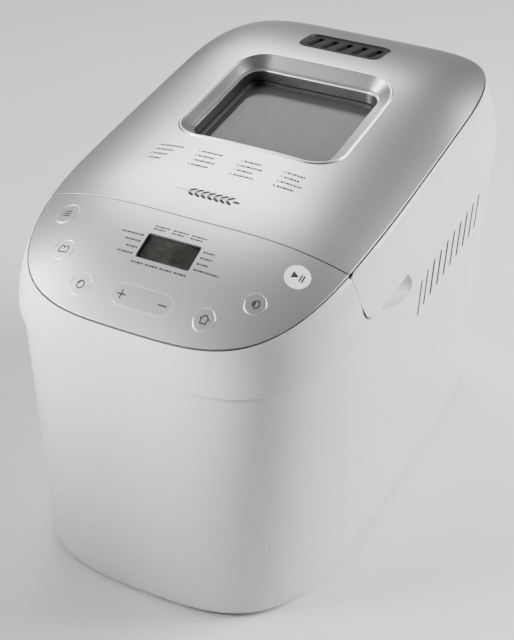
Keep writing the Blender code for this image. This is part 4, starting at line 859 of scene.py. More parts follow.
def drawn_in(half, distance, middle_y):
    """A half ring moved towards a point of the middle plane."""
    centre = np.array([0.0, middle_y])
    away = half[:, :2] - centre
    length = np.maximum(np.hypot(away[:, 0], away[:, 1]), 1e-6)
    moved = half.copy()
    moved[:, :2] = half[:, :2] - away / length[:, None] * distance
    moved[0, 0] = 0.0
    moved[-1, 0] = 0.0
    return moved


def panel_ring(plan, share):
    return between(np.array([0.0, PANEL_CENTRE_Y]), plan, share)


def rim_rings(outline, seam_part):
    """Rings over the rounded rim, whose part along the seam drops to the plate's recess."""
    rings = []
    for offset, drop in RIM_LEVELS:
        ring = with_height(outline(offset, None), lambda x, y: rim_height(y) - drop)
        ring[seam_part, 2] = top_height(ring[seam_part, 0], ring[seam_part, 1]) - RECESS
        rings.append(ring)
    return rings


def outer_band(outline, bottom, seam_part, tuck, middle_y):
    """Rings of the white band, from its tucked lower edge to the rim."""
    foot = seam_band(outline, bottom, seam_part, (0.0,))[0]
    tucked = drawn_in(foot, tuck, middle_y)
    return [tucked, foot] + seam_band(outline, bottom, seam_part, BAND_SHARES)


def inner_band(outline, bottom, seam_part, shares, middle_y):
    rings = seam_band(outline, bottom, seam_part, shares)
    return [drawn_in(ring, WALL, middle_y) for ring in rings]


def paint_recess_shade(item):
    """Painted shade: the floor of the recess under the silver plate is painted dark, as the shadow in the
    gap, so that the plate's edge shows.
    """
    for face in item.data.polygons:
        x, y, z = face.center
        if face.normal.z > 0.5 and 0.0010 < float(top_height(x, y)) - z < 0.0032 and inside_rim(x, y):
            face.material_index = 1


def paint_plate_side_shade(item):
    """Painted shade: the cut sides of a plate are painted dark, as the shadow down in the gap round it."""
    for face in item.data.polygons:
        if abs(face.normal.z) < 0.6:
            face.material_index = 1


def inside_rim(x, y):
    ahead = (max(0.0, MIDDLE - y) / (MIDDLE - FRONT)) ** FRONT_POWERS[1]
    behind = (max(0.0, y - MIDDLE) / (RIM_REAR - MIDDLE)) ** REAR_POWERS[1]
    return (abs(x) / RIM_HALF) ** FRONT_POWERS[0] + ahead + behind < 1.0


def front_housing():
    band = (front_half, part_height, slice(FRONT_COUNT, None))
    outer = outer_band(*band, 0.0005, PANEL_CENTRE_Y)
    outer[0][:, 2] += 0.0001
    outer[1][:, 2] += 0.0006
    lip = front_half(LIP_OFFSET, None)
    top = [with_height(panel_ring(lip, share), below_top(RECESS))
           for share in (1.0, 0.94, 0.86, 0.76, 0.64, 0.5, 0.35, 0.2, 0.06)]
    under = [with_height(panel_ring(lip, share), below_top(RECESS + 0.0020))
             for share in (0.06, 0.35, 0.7, 0.94)]
    inner = inner_band(*band, (0.45, 0.0), PANEL_CENTRE_Y)
    rings = under + inner + outer + rim_rings(front_half, band[2]) + top
    housing = loft_halves("front_housing_shell", rings, [WHITE, GAP_SHADE], "body", slot="white_casing",
                          replaced=["front_housing"])
    apply_booleans(housing, [("DIFFERENCE", opening_tool(0.0004, 0.0105))])
    paint_recess_shade(housing)


def pill_outline(grow=0.0, steps=24):
    radius = PILL_HALF[1] + grow
    straight = PILL_HALF[0] - PILL_HALF[1]
    angles = np.radians(np.linspace(-90, 90, steps + 1))
    right = [(straight + radius * math.cos(a), radius * math.sin(a)) for a in angles]
    across = [(straight * (1 - 2 * i / 12), radius) for i in range(1, 12)]
    return right + across + [(-x, -y) for x, y in right + across]


def half_pill_outline(side):
    """One half of the pill, as an outline round the pill's centre."""
    radius, flat = PILL_HALF[1], PILL_SPLIT
    straight = PILL_HALF[0] - radius
    angles = np.radians(np.linspace(-90, 90, 25))
    low = [(flat + (straight - flat) * i / 6, -radius) for i in range(6)]
    high = [(straight - (straight - flat) * i / 6, radius) for i in range(1, 7)]
    arc = [(straight + radius * math.cos(a), radius * math.sin(a)) for a in angles]
    rising = [(flat, radius * (1 - 2 * i / 5)) for i in range(1, 5)]
    outline = [(side * x, y) for x, y in low + arc + high + rising]
    return outline[::side]


def key_frame(x, y):
    normal = top_normal(x, y)
    turn = Vector((0, 0, 1)).rotation_difference(normal).to_matrix().to_4x4()
    return Matrix.Translation((x, y, float(top_height(x, y)))) @ turn


def standing(outline, place, low, high):
    rings = [[tuple(place @ Vector((x, y, z))) for x, y in outline] for z in (low, high)]
    return skin(rings)


def display_outline(grow):
    centre_y = (DISPLAY_FRONT + DISPLAY_REAR) / 2
    half_y = (DISPLAY_REAR - DISPLAY_FRONT) / 2
    return rounded_rectangle(DISPLAY_HALF + grow, half_y + grow, 0.0016 + grow, (0.0, centre_y), 8)


def opening_tool(grow, depth):
    """Tools for the openings of the keys and the display."""
    shapes = [standing(circle(0.0, 0.0, radius + grow, 72), key_frame(x, y), -depth, 0.004)
              for _, x, y, radius in KEYS]
    shapes.append(standing(pill_outline(grow), key_frame(0.0, PILL_Y), -depth, 0.004))
    shapes.append(skin([at_height(display_outline(grow), z) for z in (0.240, 0.300)]))
    return joined_tool("openings", shapes)


def edge_profile():
    """(inset, drop) pairs round the upper edge of a plate, from its side to its top."""
    turn = np.radians(np.linspace(0, 90, 5))
    rounded = [(PLATE_EDGE * (1 - math.cos(a)), PLATE_EDGE * (1 - math.sin(a))) for a in turn]
    return [(0.0, PLATE)] + rounded


def control_fascia():
    def plan(inset):
        points = front_half(-PANEL_INSET - inset, None, 0.0001 + inset)
        ahead = np.clip((MIDDLE - points[:, 1]) / (MIDDLE - FRONT), 0.0, 1.0)
        points[:, 1] += (PANEL_FRONT_INSET + inset) * ahead ** 12
        return points

    rings = [with_height(panel_ring(plan(0.0), share), below_top(PLATE))
             for share in (0.06, 0.4, 0.75, 0.95)]
    rings += [with_height(plan(inset), below_top(drop)) for inset, drop in edge_profile()]
    last = plan(PLATE_EDGE)
    rings += [with_height(panel_ring(last, share), below_top(0.0)) for share in
              np.r_[np.linspace(0.985, 0.1, 34), 0.04]]
    fascia = loft_halves("control_fascia_plate", rings, [SILVER, GAP_SHADE], "body", slot="silver_panel",
                         replaced=["control_fascia"])
    apply_booleans(fascia, [("DIFFERENCE", opening_tool(0.00012, 0.006))], 30)
    paint_plate_side_shade(fascia)
    shade_by_formula(fascia)


def conform(outline, centre, lift):
    """Points of a flat outline laid on the crowned top round a centre."""
    return [(centre[0] + x, centre[1] + y, float(top_height(centre[0] + x, centre[1] + y)) + lift)
            for x, y in outline]


def shrunk(outline, distance):
    """The same convex outline drawn in by a distance."""
    points = np.asarray(outline)
    ahead = np.roll(points, -1, axis=0) - points
    behind = points - np.roll(points, 1, axis=0)
    turned_ahead = np.c_[-ahead[:, 1], ahead[:, 0]]
    turned_behind = np.c_[-behind[:, 1], behind[:, 0]]
    inward = turned_ahead / np.hypot(*ahead.T)[:, None] + turned_behind / np.hypot(*behind.T)[:, None]
    inward /= np.maximum(np.hypot(*inward.T), 1e-9)[:, None]
    return [tuple(point) for point in points + inward * distance]


def cap(name, outline, centre, made, body, node, slot, ring_inset=None, ring_width=0.0008,
        ring_made=None, edge=0.0001):
    """A key's cap that follows the crown, with a thin raised ring just inside its edge."""
    levels = [(0.0, -KEY_DEPTH), (0.0, -3.0 * edge), (edge, 0.0), (2.5 * edge, KEY_LIFT)]
    if ring_inset is not None:
        start, end = ring_inset, ring_inset + ring_width
        levels += [(start, KEY_LIFT), (start + 0.00012, 0.00026), (start + ring_width * 0.5, 0.00032),
                   (end - 0.00012, 0.00026), (end, KEY_LIFT)]
    rings = [conform(shrunk(outline, inset), centre, lift) for inset, lift in levels]
    middle = np.mean(outline, axis=0)
    inner = np.asarray(shrunk(outline, levels[-1][0]))
    for share in (0.8, 0.6, 0.4, 0.2, 0.05):
        rings.append(conform(between(middle, inner, share), centre, KEY_LIFT))
    item = loft(name, rings, [made, ring_made or made], body, slot=slot, replaced=[node], smooth_angle=50)
    if ring_inset is not None:
        count = len(outline)
        for face in item.data.polygons[4 * count: 8 * count]:
            face.material_index = 1
    shade_by_formula(item, 0.9)


def keys():
    for node, x, y, radius in KEYS:
        body = node.replace("_key", "_button")
        start = node == "start_key"
        cap(node + "_cap", circle(0.0, 0.0, radius, 72), (x, y), PALE if start else KEY_SILVER, body, node,
            "start_keycap" if start else "keycap", 0.0004, 0.0006, PALE if start else RING)
    for side, node in ((-1, "plus_key"), (1, "minus_key")):
        body = node.replace("_key", "_button")
        cap(node + "_cap", half_pill_outline(side), (0.0, PILL_Y), KEY_SILVER, body, node, "keycap",
            edge=0.00003)


# Prints on the panel, the lid and the keys

def ribbon(points, width):
    """Outline of a line of some width with square ends, on the crowned top."""
    points = np.asarray(points, float)
    ahead = np.gradient(points, axis=0)
    across = np.c_[-ahead[:, 1], ahead[:, 0]] / np.hypot(*ahead.T)[:, None] * width / 2
    return [tuple(p) for p in np.r_[points + across, (points - across)[::-1]]]


def bar(x, y, length, width, turn=0.0):
    """Outline of a straight bar from (x, y) that runs on for its length."""
    along = np.array([math.cos(turn), math.sin(turn)])
    start = np.array([x, y])
    return ribbon([start, start + along * length / 2, start + along * length], width)


def broken_bar(x, y, length, width):
    """Outlines of a bar broken into short blocks, like a line of small print."""
    blocks, start, i = [], 0.0, 0
    while start < length:
        block = min((0.0022, 0.0014, 0.0030, 0.0018)[i % 4], length - start)
        if block > 0.0006:
            blocks.append(bar(x + start, y, block, width))
        start += block + 0.0004
        i += 1
    return blocks


def arc(x, y, radius, first, last, width, count=14):
    turns = np.radians(np.linspace(first, last, count))
    return ribbon(np.c_[x + radius * np.cos(turns), y + radius * np.sin(turns)], width)


def printed(name, outlines, body, lift=0.00004, thick=0.00007):
    """Thin raised prints, one closed slab per outline, that follow the crown."""
    shape = bmesh.new()
    for outline in outlines:
        low = [shape.verts.new(point) for point in conform(outline, (0.0, 0.0), lift - thick)]
        high = [shape.verts.new(point) for point in conform(outline, (0.0, 0.0), lift)]
        count = len(outline)
        for i in range(count):
            j = (i + 1) % count
            shape.faces.new((low[i], low[j], high[j], high[i]))
        half = count // 2
        for row in (low, high):
            for i in range(half - 1):
                shape.faces.new((row[i], row[i + 1], row[count - 2 - i], row[count - 1 - i]))
    bmesh.ops.recalc_face_normals(shape, faces=shape.faces)
    finish_mesh(name, shape, PRINT, body)


DIGIT_STROKES = ("abcdef", "bc", "abged", "abgcd", "fgbc", "afgcd", "afgedc", "abc", "abcdefg", "abcdfg")


def digit(value, x, y, size, width):
    """Outlines of a numeral's straight strokes; (x, y) is its lower left corner."""
    wide, tall = size * 0.5, size / 2
    strokes = {
        "a": (x, y + 2 * tall, wide, 0.0), "d": (x, y, wide, 0.0), "g": (x, y + tall, wide, 0.0),
        "b": (x + wide, y + tall, tall, math.pi / 2), "c": (x + wide, y, tall, math.pi / 2),
        "e": (x, y, tall, math.pi / 2), "f": (x, y + tall, tall, math.pi / 2),
    }
    return [bar(*strokes[letter][:3], width, strokes[letter][3]) for letter in DIGIT_STROKES[value]]


def programme_list():
    """Sixteen numbered rows in four columns, with broken bars in place of words."""
    outlines = []
    size, width = 0.0020, 0.0005
    for index, length in enumerate(LIST_LENGTHS):
        column, row = divmod(index, 4)
        x, y = LIST_PLACE[0] + LIST_STEP[0] * column, LIST_PLACE[1] - LIST_STEP[1] * row
        numeral = index + 1
        if numeral > 9:
            outlines += digit(1, x - 0.0012, y, size, width)
        outlines += digit(numeral % 10, x + 0.0002, y, size, width)
        outlines += broken_bar(x + 0.0026, y + size / 2, length, 0.0021)
    return outlines


def grain(x, y, turn):
    """A pointed grain of wheat."""
    length, width = 0.0064, 0.0026
    along = np.linspace(-1.0, 1.0, 13)
    half = width / 2 * np.sqrt(1.0 - np.abs(along) ** 1.8) + 0.00002
    upper = np.c_[along * length / 2, half]
    lower = np.c_[along[::-1] * length / 2, -half[::-1]]
    turned_by = np.array([[math.cos(turn), math.sin(turn)], [-math.sin(turn), math.cos(turn)]])
    return [tuple(p) for p in np.r_[upper, lower] @ turned_by + np.array([x, y])]


def wheat_motif():
    """A lying ear of wheat: a stalk and pairs of slanting grains."""
    outlines = [bar(-0.0252, MOTIF_Y, 0.0440, 0.0007)]
    for i in range(7):
        for side in (1, -1):
            outlines.append(grain(-0.0118 + 0.0050 * i, MOTIF_Y + side * 0.0024, side * 0.50))
    return outlines + [grain(0.0232, MOTIF_Y, 0.0)]


def display_labels():
    """Bars round the display that stand in for its labels."""
    outlines = []
    for row, length in enumerate((0.0180, 0.0125, 0.0090, 0.0130)):
        outlines += broken_bar(-0.0229 - length, -0.1464 - 0.0051 * row, length, 0.0014)
    for row, length in enumerate((0.0088, 0.0092, 0.0088, 0.0190)):
        outlines += broken_bar(0.0235, -0.1467 - 0.0048 * row, length, 0.0014)
    for column in range(3):
        x = -0.0199 + 0.0145 * column
        outlines += broken_bar(x, -0.1366, 0.0118, 0.0013) + broken_bar(x, -0.1390, 0.0095, 0.0013)
    for column in range(4):
        outlines += broken_bar(-0.0219 + 0.0112 * column, -0.1672, 0.0095, 0.0014)
    return outlines


def pill_ring():
    """A light line printed round the plus and minus keys."""
    outline = np.array(pill_outline(0.0010, 40)) + np.array([0.0, PILL_Y])
    half, low, high = 0.00018, -0.00003, 0.00005
    rings = [conform(shrunk(outline, inset), (0.0, 0.0), lift)
             for inset, lift in ((-half, low), (-half, high), (half, high), (half, low))]
    loft("pill_ring", rings, RING, "body", joined=True)


def key_icons():
    """Icons in place of the words on the keys, drawn round each key's centre."""
    line, stroke, upright = 0.0010, 0.0011, math.pi / 2
    turns = np.radians(np.linspace(90, 270, 19))
    fan = [(0.0026 * math.cos(a), 0.0026 * math.sin(a)) for a in turns]
    spine = [(0.0, -0.0026 + 0.0052 * i / 18) for i in range(19)]
    triangle = [(-0.0042, 0.0030 * s) for s in (-1.0, 0.0, 1.0)]
    tip = [(0.0006, 0.0002 * s) for s in (1.0, 0.0, -1.0)]
    icons = {
        "menu_key": [bar(-0.0030, dy, 0.0060, line) for dy in (-0.0020, 0.0, 0.0020)],
        "loaf_size_key": [
            bar(-0.0034, -0.0020, 0.0068, line),
            bar(-0.0034, -0.0020, 0.0030, line, upright), bar(0.0034, -0.0020, 0.0030, line, upright),
            arc(-0.0017, 0.0010, 0.0017, 0, 180, line), arc(0.0017, 0.0010, 0.0017, 0, 180, line),
        ],
        "dough_key": [arc(0.0, -0.0006, 0.0026, 0, 360, line, 32),
                      arc(-0.0002, -0.0004, 0.0014, 100, 190, line * 0.8)],
        "home_key": [
            ribbon([(-0.0034, 0.0002), (-0.0017, 0.0017), (0.0, 0.0032)], line),
            ribbon([(0.0, 0.0032), (0.0017, 0.0017), (0.0034, 0.0002)], line),
            bar(-0.0022, -0.0026, 0.0030, line, upright), bar(0.0022, -0.0026, 0.0030, line, upright),
            bar(-0.0024, -0.0026, 0.0048, line),
        ],
        "colour_key": [arc(0.0, 0.0, 0.0028, -90, 90, line, 24), fan + spine],
        "start_key": [triangle + tip] + [bar(x, -0.0029, 0.0058, stroke, upright) for x in (0.0022, 0.0041)],
        "plus_key": [bar(-0.0192, 0.0, 0.0066, stroke), bar(-0.0159, -0.0033, 0.0066, stroke, upright)],
        "minus_key": [bar(0.0126, 0.0, 0.0066, stroke)],
    }
    places = {name: (x, y) for name, x, y, _ in KEYS}
    for node, outlines in icons.items():
        x, y = places.get(node, (0.0, PILL_Y))
        placed = [[(x + dx, y + dy) for dx, dy in outline] for outline in outlines]
        printed(node + "_icon", placed, node.replace("_key", "_button"), 0.00014, 0.0001)


def display():
    """Dark pane behind the opening, with the segments of a timer under it."""
    centre_y = (DISPLAY_FRONT + DISPLAY_REAR) / 2
    middle = float(top_height(0.0, centre_y))
    slope = float(top_height(0.0, centre_y + 0.005) - top_height(0.0, centre_y - 0.005)) / 0.01

    def level(outline, drop):
        return [(x, y, middle + slope * (y - centre_y) - drop) for x, y in outline]

    def ring(grow, drop):
        return level(display_outline(grow), drop)

    loft("display_lens", [ring(-0.0006, 0.0020), ring(-0.0006, 0.0007), ring(-0.0007, 0.0005),
                          ring(-0.0009, 0.0004)], LENS, "body", slot="display_window",
         replaced=["lcd_window"])
    loft("display_collar", [ring(0.0, 0.0064), ring(0.0, 0.0005), ring(-0.0001, 0.0003),
                            ring(-0.0005, 0.0003), ring(-0.0005, 0.0064)], RUBBER, "body", joined=True)
    loft("display_panel", [ring(-0.0006, 0.0064), ring(-0.0006, 0.0024)], DISPLAY, "body",
         slot="display", replaced=["lcd_module"])
    size, width, low = 0.0088, 0.00085, centre_y - 0.0046
    outlines = digit(3, -0.0088, low, size, width)
    outlines += digit(1, 0.0000, low, size, width)
    outlines += digit(0, 0.0068, low, size, width)
    outlines += [bar(-0.0024, centre_y + dy, 0.0010, 0.0010) for dy in (-0.0020, 0.0016)]
    outlines += [bar(-0.0185, centre_y + 0.0040 - 0.0027 * i, 0.0045, 0.0008) for i in range(4)]
    strokes = [skin([level(outline, drop) for drop in (0.00245, 0.0023)]) for outline in outlines]
    finish_mesh("display_segments", merged(strokes), SEGMENT, "body")


# Lid

def across_x(x, half_length, points):
    """A solid of the given (y, z) outline, as long as twice the half length, across x."""
    return skin([[(x + side * half_length, y, z) for y, z in points] for side in (-1, 1)])


def knuckle_outline(radius):
    """Round below the hinge's axis, with straight sides up to the lid's top."""
    points = [(HINGE_Y + radius * math.cos(a), HINGE_Z + radius * math.sin(a))
              for a in np.linspace(math.pi, 2 * math.pi, 21)]
    return points + [(HINGE_Y + radius, HINGE_Z + 0.0075), (HINGE_Y - radius, HINGE_Z + 0.0075)]


def grille_outline(grow):
    return rounded_rectangle(GRILLE_HALF[0] + grow, GRILLE_HALF[1] + grow, GRILLE_RADIUS + grow,
                             (0.0, GRILLE_Y))


def grille_hole(grow):
    return skin([at_height(grille_outline(grow), z) for z in (0.27, 0.33)])


def lid_shell():
    band = (lid_half, skirt_height, slice(0, SEAM_COUNT + 1))
    outer = outer_band(*band, 0.0006, LID_MIDDLE_Y)
    outer[1][:, 2] += 0.0005
    lip = lid_half(LIP_OFFSET, None)
    window = window_half(0.0024)
    under_drop = RECESS + WALL
    top = [with_height(between(lip, window, share), below_top(RECESS))
           for share in np.linspace(0.0, 1.0, 14)]
    under = [with_height(between(lip, window, share), below_top(under_drop))
             for share in np.linspace(1.0, 0.08, 9)]
    inner_rim = with_height(lid_half(-0.0035, None, WALL), below_top(under_drop + 0.0015))
    inner = inner_band(*band, (0.75, 0.45, 0.2, 0.0), LID_MIDDLE_Y)
    rings = outer + rim_rings(lid_half, band[2]) + top + under + [inner_rim] + inner
    shell = loft_halves("lid_shell", rings, [WHITE, GAP_SHADE], "lid", joined=True, slot="white_casing",
                        replaced=["lid_frame"])
    sides = (-1, 1)
    knuckles = [across_x(side * (HINGE_X + KNUCKLE_SIDE), 0.0055, knuckle_outline(0.0042)) for side in sides]
    notches = [box_shape((side * HINGE_X - 0.0080, 0.1900, 0.2300),
                         (side * HINGE_X + 0.0080, 0.2200, HINGE_Z + 0.0070)) for side in sides]
    bores = [across_x(side * (HINGE_X + KNUCKLE_SIDE), 0.0080, circle(HINGE_Y, HINGE_Z, 0.0023, 40))
             for side in sides]
    apply_booleans(shell, [
        ("UNION", joined_tool("lid_knuckles", knuckles)),
        ("DIFFERENCE", joined_tool("lid_notches", notches)),
        ("DIFFERENCE", joined_tool("lid_bores", bores + [grille_hole(0.0006)])),
    ])
    paint_recess_shade(shell)


def lid_plate():
    def plan(inset):
        return lid_half(-LID_INSET - inset, None, 0.0001 + inset)

    def opening(inset):
        return window_half(0.0019 + inset)

    outer, last = plan(0.0), plan(PLATE_EDGE)
    rings = [with_height(between(outer, opening(0.0), share), below_top(PLATE))
             for share in (0.9, 0.6, 0.3, 0.04)]
    rings += [with_height(plan(inset), below_top(drop)) for inset, drop in edge_profile()]
    rings += [with_height(between(last, opening(PLATE_EDGE), share), below_top(0.0))
              for share in np.linspace(0.012, 0.988, 44)]
    rings += [with_height(opening(inset), below_top(drop)) for inset, drop in edge_profile()[::-1]]
    plate = loft_halves("lid_plate", rings, [SILVER, GAP_SHADE], "lid", joined=True, slot="silver_panel",
                        replaced=["lid_top_plate"])
    apply_booleans(plate, [("DIFFERENCE", joined_tool("plate_hole", [grille_hole(0.0002)]))], 30)
    paint_plate_side_shade(plate)
    shade_by_formula(plate)


def window_bezel():
    """A bright slope down to a dark sleeve, closed on its underside."""
    lip = ((0.0016, 0.0030), (0.0016, -0.0002), (0.0014, -0.0006), (0.0010, -0.0009), (0.0005, -0.0010),
           (0.0000, -0.0009), (-0.0005, -0.0005), (-0.0010, 0.0001))
    rings = [with_height(window_half(grow), below_top(drop)) for grow, drop in lip]
    slope_start, foot = rings[-1], window_ring(-0.0078, BEVEL_DROP - 0.0010)
    rings += [between(slope_start, foot, share) for share in (0.15, 0.35, 0.55, 0.75, 0.9)]
    rings.append(foot)
    rings += [window_ring(grow, BEVEL_DROP + drop) for grow, drop in
              ((-0.0087, -0.0003), (-0.0095, 0.0000), (-0.0100, 0.0003), (-0.0102, 0.0009))]
    bright = len(rings) - 1
    rings += [window_ring(grow, drop) for grow, drop in (
        (-0.0103, BEVEL_DROP + 0.0028), (-0.0105, SLEEVE_DROP - 0.0003), (-0.0103, SLEEVE_DROP),
        (-0.0090, SLEEVE_DROP), (-0.0086, BEVEL_DROP + 0.0014), (-0.0060, BEVEL_DROP + 0.0008),
        (-0.0020, BEVEL_DROP - 0.0028))]
    bezel = loft_halves("window_bezel", rings, [BEZEL, SLEEVE], "lid", joined=True, mark_uv=True,
                        slot="bright_bezel", replaced=["window_frame"], smooth_angle=32)
    ring_length = 2 * (len(foot) - 1)
    for face in bezel.data.polygons[bright * ring_length:]:
        face.material_index = 1


def window_pane():
    """The pane, the seal on it and the thin line round it."""
    seal_foot = SEAL_DROP + SEAL_THICKNESS
    seal = [window_ring(grow, drop) for grow, drop in (
        (-0.0070, seal_foot), (-0.0070, SEAL_DROP), (-0.0118, SEAL_DROP), (-0.0122, SEAL_DROP + 0.0002),
        (-0.0125, SEAL_DROP + 0.0006), (-0.0125, seal_foot))]
    loft_halves("window_seal", seal, RUBBER, "lid", joined=True, slot="rubber",
                replaced=["window_gasket"])
    trim = [window_ring(grow, PANE_DROP - rise) for grow, rise in (
        (-0.0126, 0.0), (-0.0126, 0.0007), (-0.0128, 0.0009), (-0.0132, 0.0009), (-0.0134, 0.0007),
        (-0.0134, 0.0))]
    loft_halves("glass_trim", trim, SLEEVE, "lid", joined=True, mark_uv=True)
    pane = [window_ring(grow, PANE_DROP + drop) for grow, drop in (
        (-0.0068, PANE_THICKNESS), (-0.0065, PANE_THICKNESS - 0.0003), (-0.0065, 0.0003),
        (-0.0068, 0.0))]
    loft_halves("window_pane", pane, GLASS, "lid", slot="window_glass", replaced=["window_glass"])


def vent_grille():
    levels = ((0.0, 0.0075), (0.0, 0.0004), (0.0, -0.0003), (0.0003, -0.0007), (0.0008, -0.0009),
              (0.0014, -0.0008), (0.0019, -0.0003), (0.0023, 0.0004), (0.0028, 0.0009), (0.0034, 0.0010))
    rings = [conform(grille_outline(-inset), (0.0, 0.0), -drop) for inset, drop in levels]
    inset, drop = levels[-1]
    last, middle = np.array(grille_outline(-inset)), np.array([0.0, GRILLE_Y])
    rings += [conform(between(middle, last, share), (0.0, 0.0), -drop) for share in (0.75, 0.5, 0.25, 0.06)]
    grille = loft("vent_grille", rings, DARK, "lid", slot="dark_plastic", replaced=["lid_vent_grille"])
    turn = np.array([[math.cos(GRILLE_SLOT_TURN), math.sin(GRILLE_SLOT_TURN)],
                     [-math.sin(GRILLE_SLOT_TURN), math.cos(GRILLE_SLOT_TURN)]])
    outline = np.array(rounded_rectangle(*GRILLE_SLOT_HALF, GRILLE_SLOT_RADIUS, (0.0, 0.0), 8)) @ turn
    slots = [skin([at_height(outline + np.array([GRILLE_SLOT_STEP * i, GRILLE_Y]), z) for z in (0.28, 0.33)])
             for i in range(-2, 3)]
    apply_booleans(grille, [("DIFFERENCE", joined_tool("grille_slots", slots))], 30)
    # Painted shade: a black sheet under the slots, standing in for the shadow inside the lid seen through
    # them.
    shade_sheet = [conform(grille_outline(-0.0008), (0.0, 0.0), -drop) for drop in (0.0086, 0.0078)]
    loft("grille_shade_sheet", shade_sheet, RUBBER, "lid", slot="dark_plastic")


# Inside: deck, chamber, liner, pan and paddles

def profile_rings(profile, radii, outline):
    """Rings through a filleted (inset, height) profile."""
    return [at_height(outline(float(inset)), float(z)) for inset, z in fillet(profile, radii, 6)]


def upright_tool(x, y, radius, low, high):
    return skin([at_height(circle(x, y, radius, 48), z) for z in (low, high)])


def wall_tool(x, y, z, radius, reach):
    return skin([[(px, y + dy, pz) for px, pz in circle(x, z, radius, 32)] for dy in (-reach, reach)])


def chamber():
    def outline(inset):
        return rounded_rectangle(CHAMBER_HALF[0] - inset, CHAMBER_HALF[1] - inset,
                                 CHAMBER_RADIUS - inset * 0.6, (0.0, CHAMBER_Y), 16, 8)

    flange = DECK_TOP + 0.0003
    profile = [(0.0125, CHAMBER_FLOOR), (0.0, CHAMBER_FLOOR + 0.0100), (0.0, flange),
               (-0.0060, flange), (-0.0060, flange + SHEET), (SHEET, flange + SHEET),
               (SHEET, CHAMBER_FLOOR + 0.0105), (0.0130, CHAMBER_FLOOR + SHEET)]
    radii = [0.003, 0.006, 0.0006, 0.0003, 0.0003, 0.0011, 0.0065, 0.0035]
    shell = loft("chamber_shell", profile_rings(profile, radii, outline), STEEL_UPRIGHT, "body",
                 slot="steel", replaced=["baking_chamber"])
    rear, front = CHAMBER_Y + CHAMBER_HALF[1], CHAMBER_Y - CHAMBER_HALF[1]
    holes = [upright_tool(0.0, y, 0.0060, 0.05, 0.06) for y in SHAFT_Y]
    holes += [wall_tool(x, rear, ELEMENT_Z, 0.0038, 0.006) for x in (-ELEMENT_X, ELEMENT_X)]
    holes.append(wall_tool(SENSOR[0], front, SENSOR[1], 0.0038, 0.006))
    apply_booleans(shell, [("DIFFERENCE", joined_tool("chamber_holes", holes))], 35)


def pan():
    """A tapered pan on a short foot, with a rolled rim and a lug for the bail at each end."""
    def outline(inset):
        return rounded_rectangle(PAN_HALF[0] - inset, PAN_HALF[1] - inset,
                                 max(0.006, 0.024 - inset * 0.55), (0.0, CHAMBER_Y), 16, 8)

    low, high, foot = PAN_BOTTOM, PAN_TOP, 0.0600
    profile = [(0.0215, low), (0.0215, foot), (0.0195, foot), (0.0195, low), (0.0135, low),
               (0.0095, low + 0.004), (0.0040, high - 0.003), (0.0, high - 0.003), (0.0, high),
               (0.0053, high), (0.0110, low + 0.005), (0.0150, low + 0.0015)]
    radii = [0.0, 0.0005, 0.0005, 0.0008, 0.0030, 0.0030, 0.0010, 0.0014, 0.0014, 0.0014, 0.0034, 0.0034]
    shell = loft("pan_shell", profile_rings(profile, radii, outline), TIN, "pan", slot="coated_tin",
                 replaced=["bread_pan"])
    lug_radius, lug_half, lug_foot = 0.0070, 0.0090, PAN_TOP - 0.002
    lug = [(lug_radius * math.cos(a), HANDLE_Z + lug_radius * math.sin(a))
           for a in np.radians(np.linspace(0, 180, 25))]
    lug += [(-lug_half, lug_foot), (lug_half, lug_foot)]
    ends = [CHAMBER_Y + side * LUG_Y for side in (-1, 1)]
    lugs = [skin([[(x, y + dy, z) for x, z in lug] for dy in (-0.0012, 0.0012)]) for y in ends]
    holes = [wall_tool(0.0, y, HANDLE_Z, 0.0024, 0.004) for y in ends]
    holes += [upright_tool(0.0, y, 0.0050, 0.065, 0.080) for y in SHAFT_Y]
    apply_booleans(shell, [("UNION", joined_tool("pan_lugs", lugs)),
                           ("DIFFERENCE", joined_tool("pan_holes", holes))], 32)


def swept(name, route, radius, made, body, **rest):
    """A round wire along a route of points, capped at both ends."""
    path = [Vector(point) for point in route]
    across = None
    rings = []
    for i, point in enumerate(path):
        along = (path[min(i + 1, len(path) - 1)] - path[max(i - 1, 0)]).normalized()
        if across is None:
            helper = Vector((0, 0, 1)) if abs(along.z) < 0.9 else Vector((1, 0, 0))
            across = along.cross(helper).normalized()
        across = (across - along * across.dot(along)).normalized()
        other = along.cross(across)
        rings.append([tuple(point + (across * math.cos(a) + other * math.sin(a)) * radius)
                      for a in np.linspace(0, 2 * math.pi, 20, endpoint=False)])
    return loft(name, rings, made, body, **rest)


def pan_bail():
    """A wire that lies on the pan's rim, with its ends turned in through the lugs."""
    reach, bend, small = HANDLE_REACH, 0.010, 0.0035
    arm = [(0.0, y) for y in (LUG_Y - 0.0030, LUG_Y, reach - small)]
    arm += [(small - small * math.cos(a), reach - small + small * math.sin(a))
            for a in np.radians((15, 30, 45, 60, 75, 90))]
    arm += [(HANDLE_ARM - bend + bend * math.sin(a), reach - bend + bend * math.cos(a))
            for a in np.radians(np.arange(0, 91, 10))]
    route = [(x, -y) for x, y in arm] + arm[::-1]
    points = [(x, CHAMBER_Y + y, HANDLE_Z) for x, y in route]
    swept("pan_bail", points, 0.0020, WIRE, "handle", slot="handle_wire", replaced=["pan_handle"])


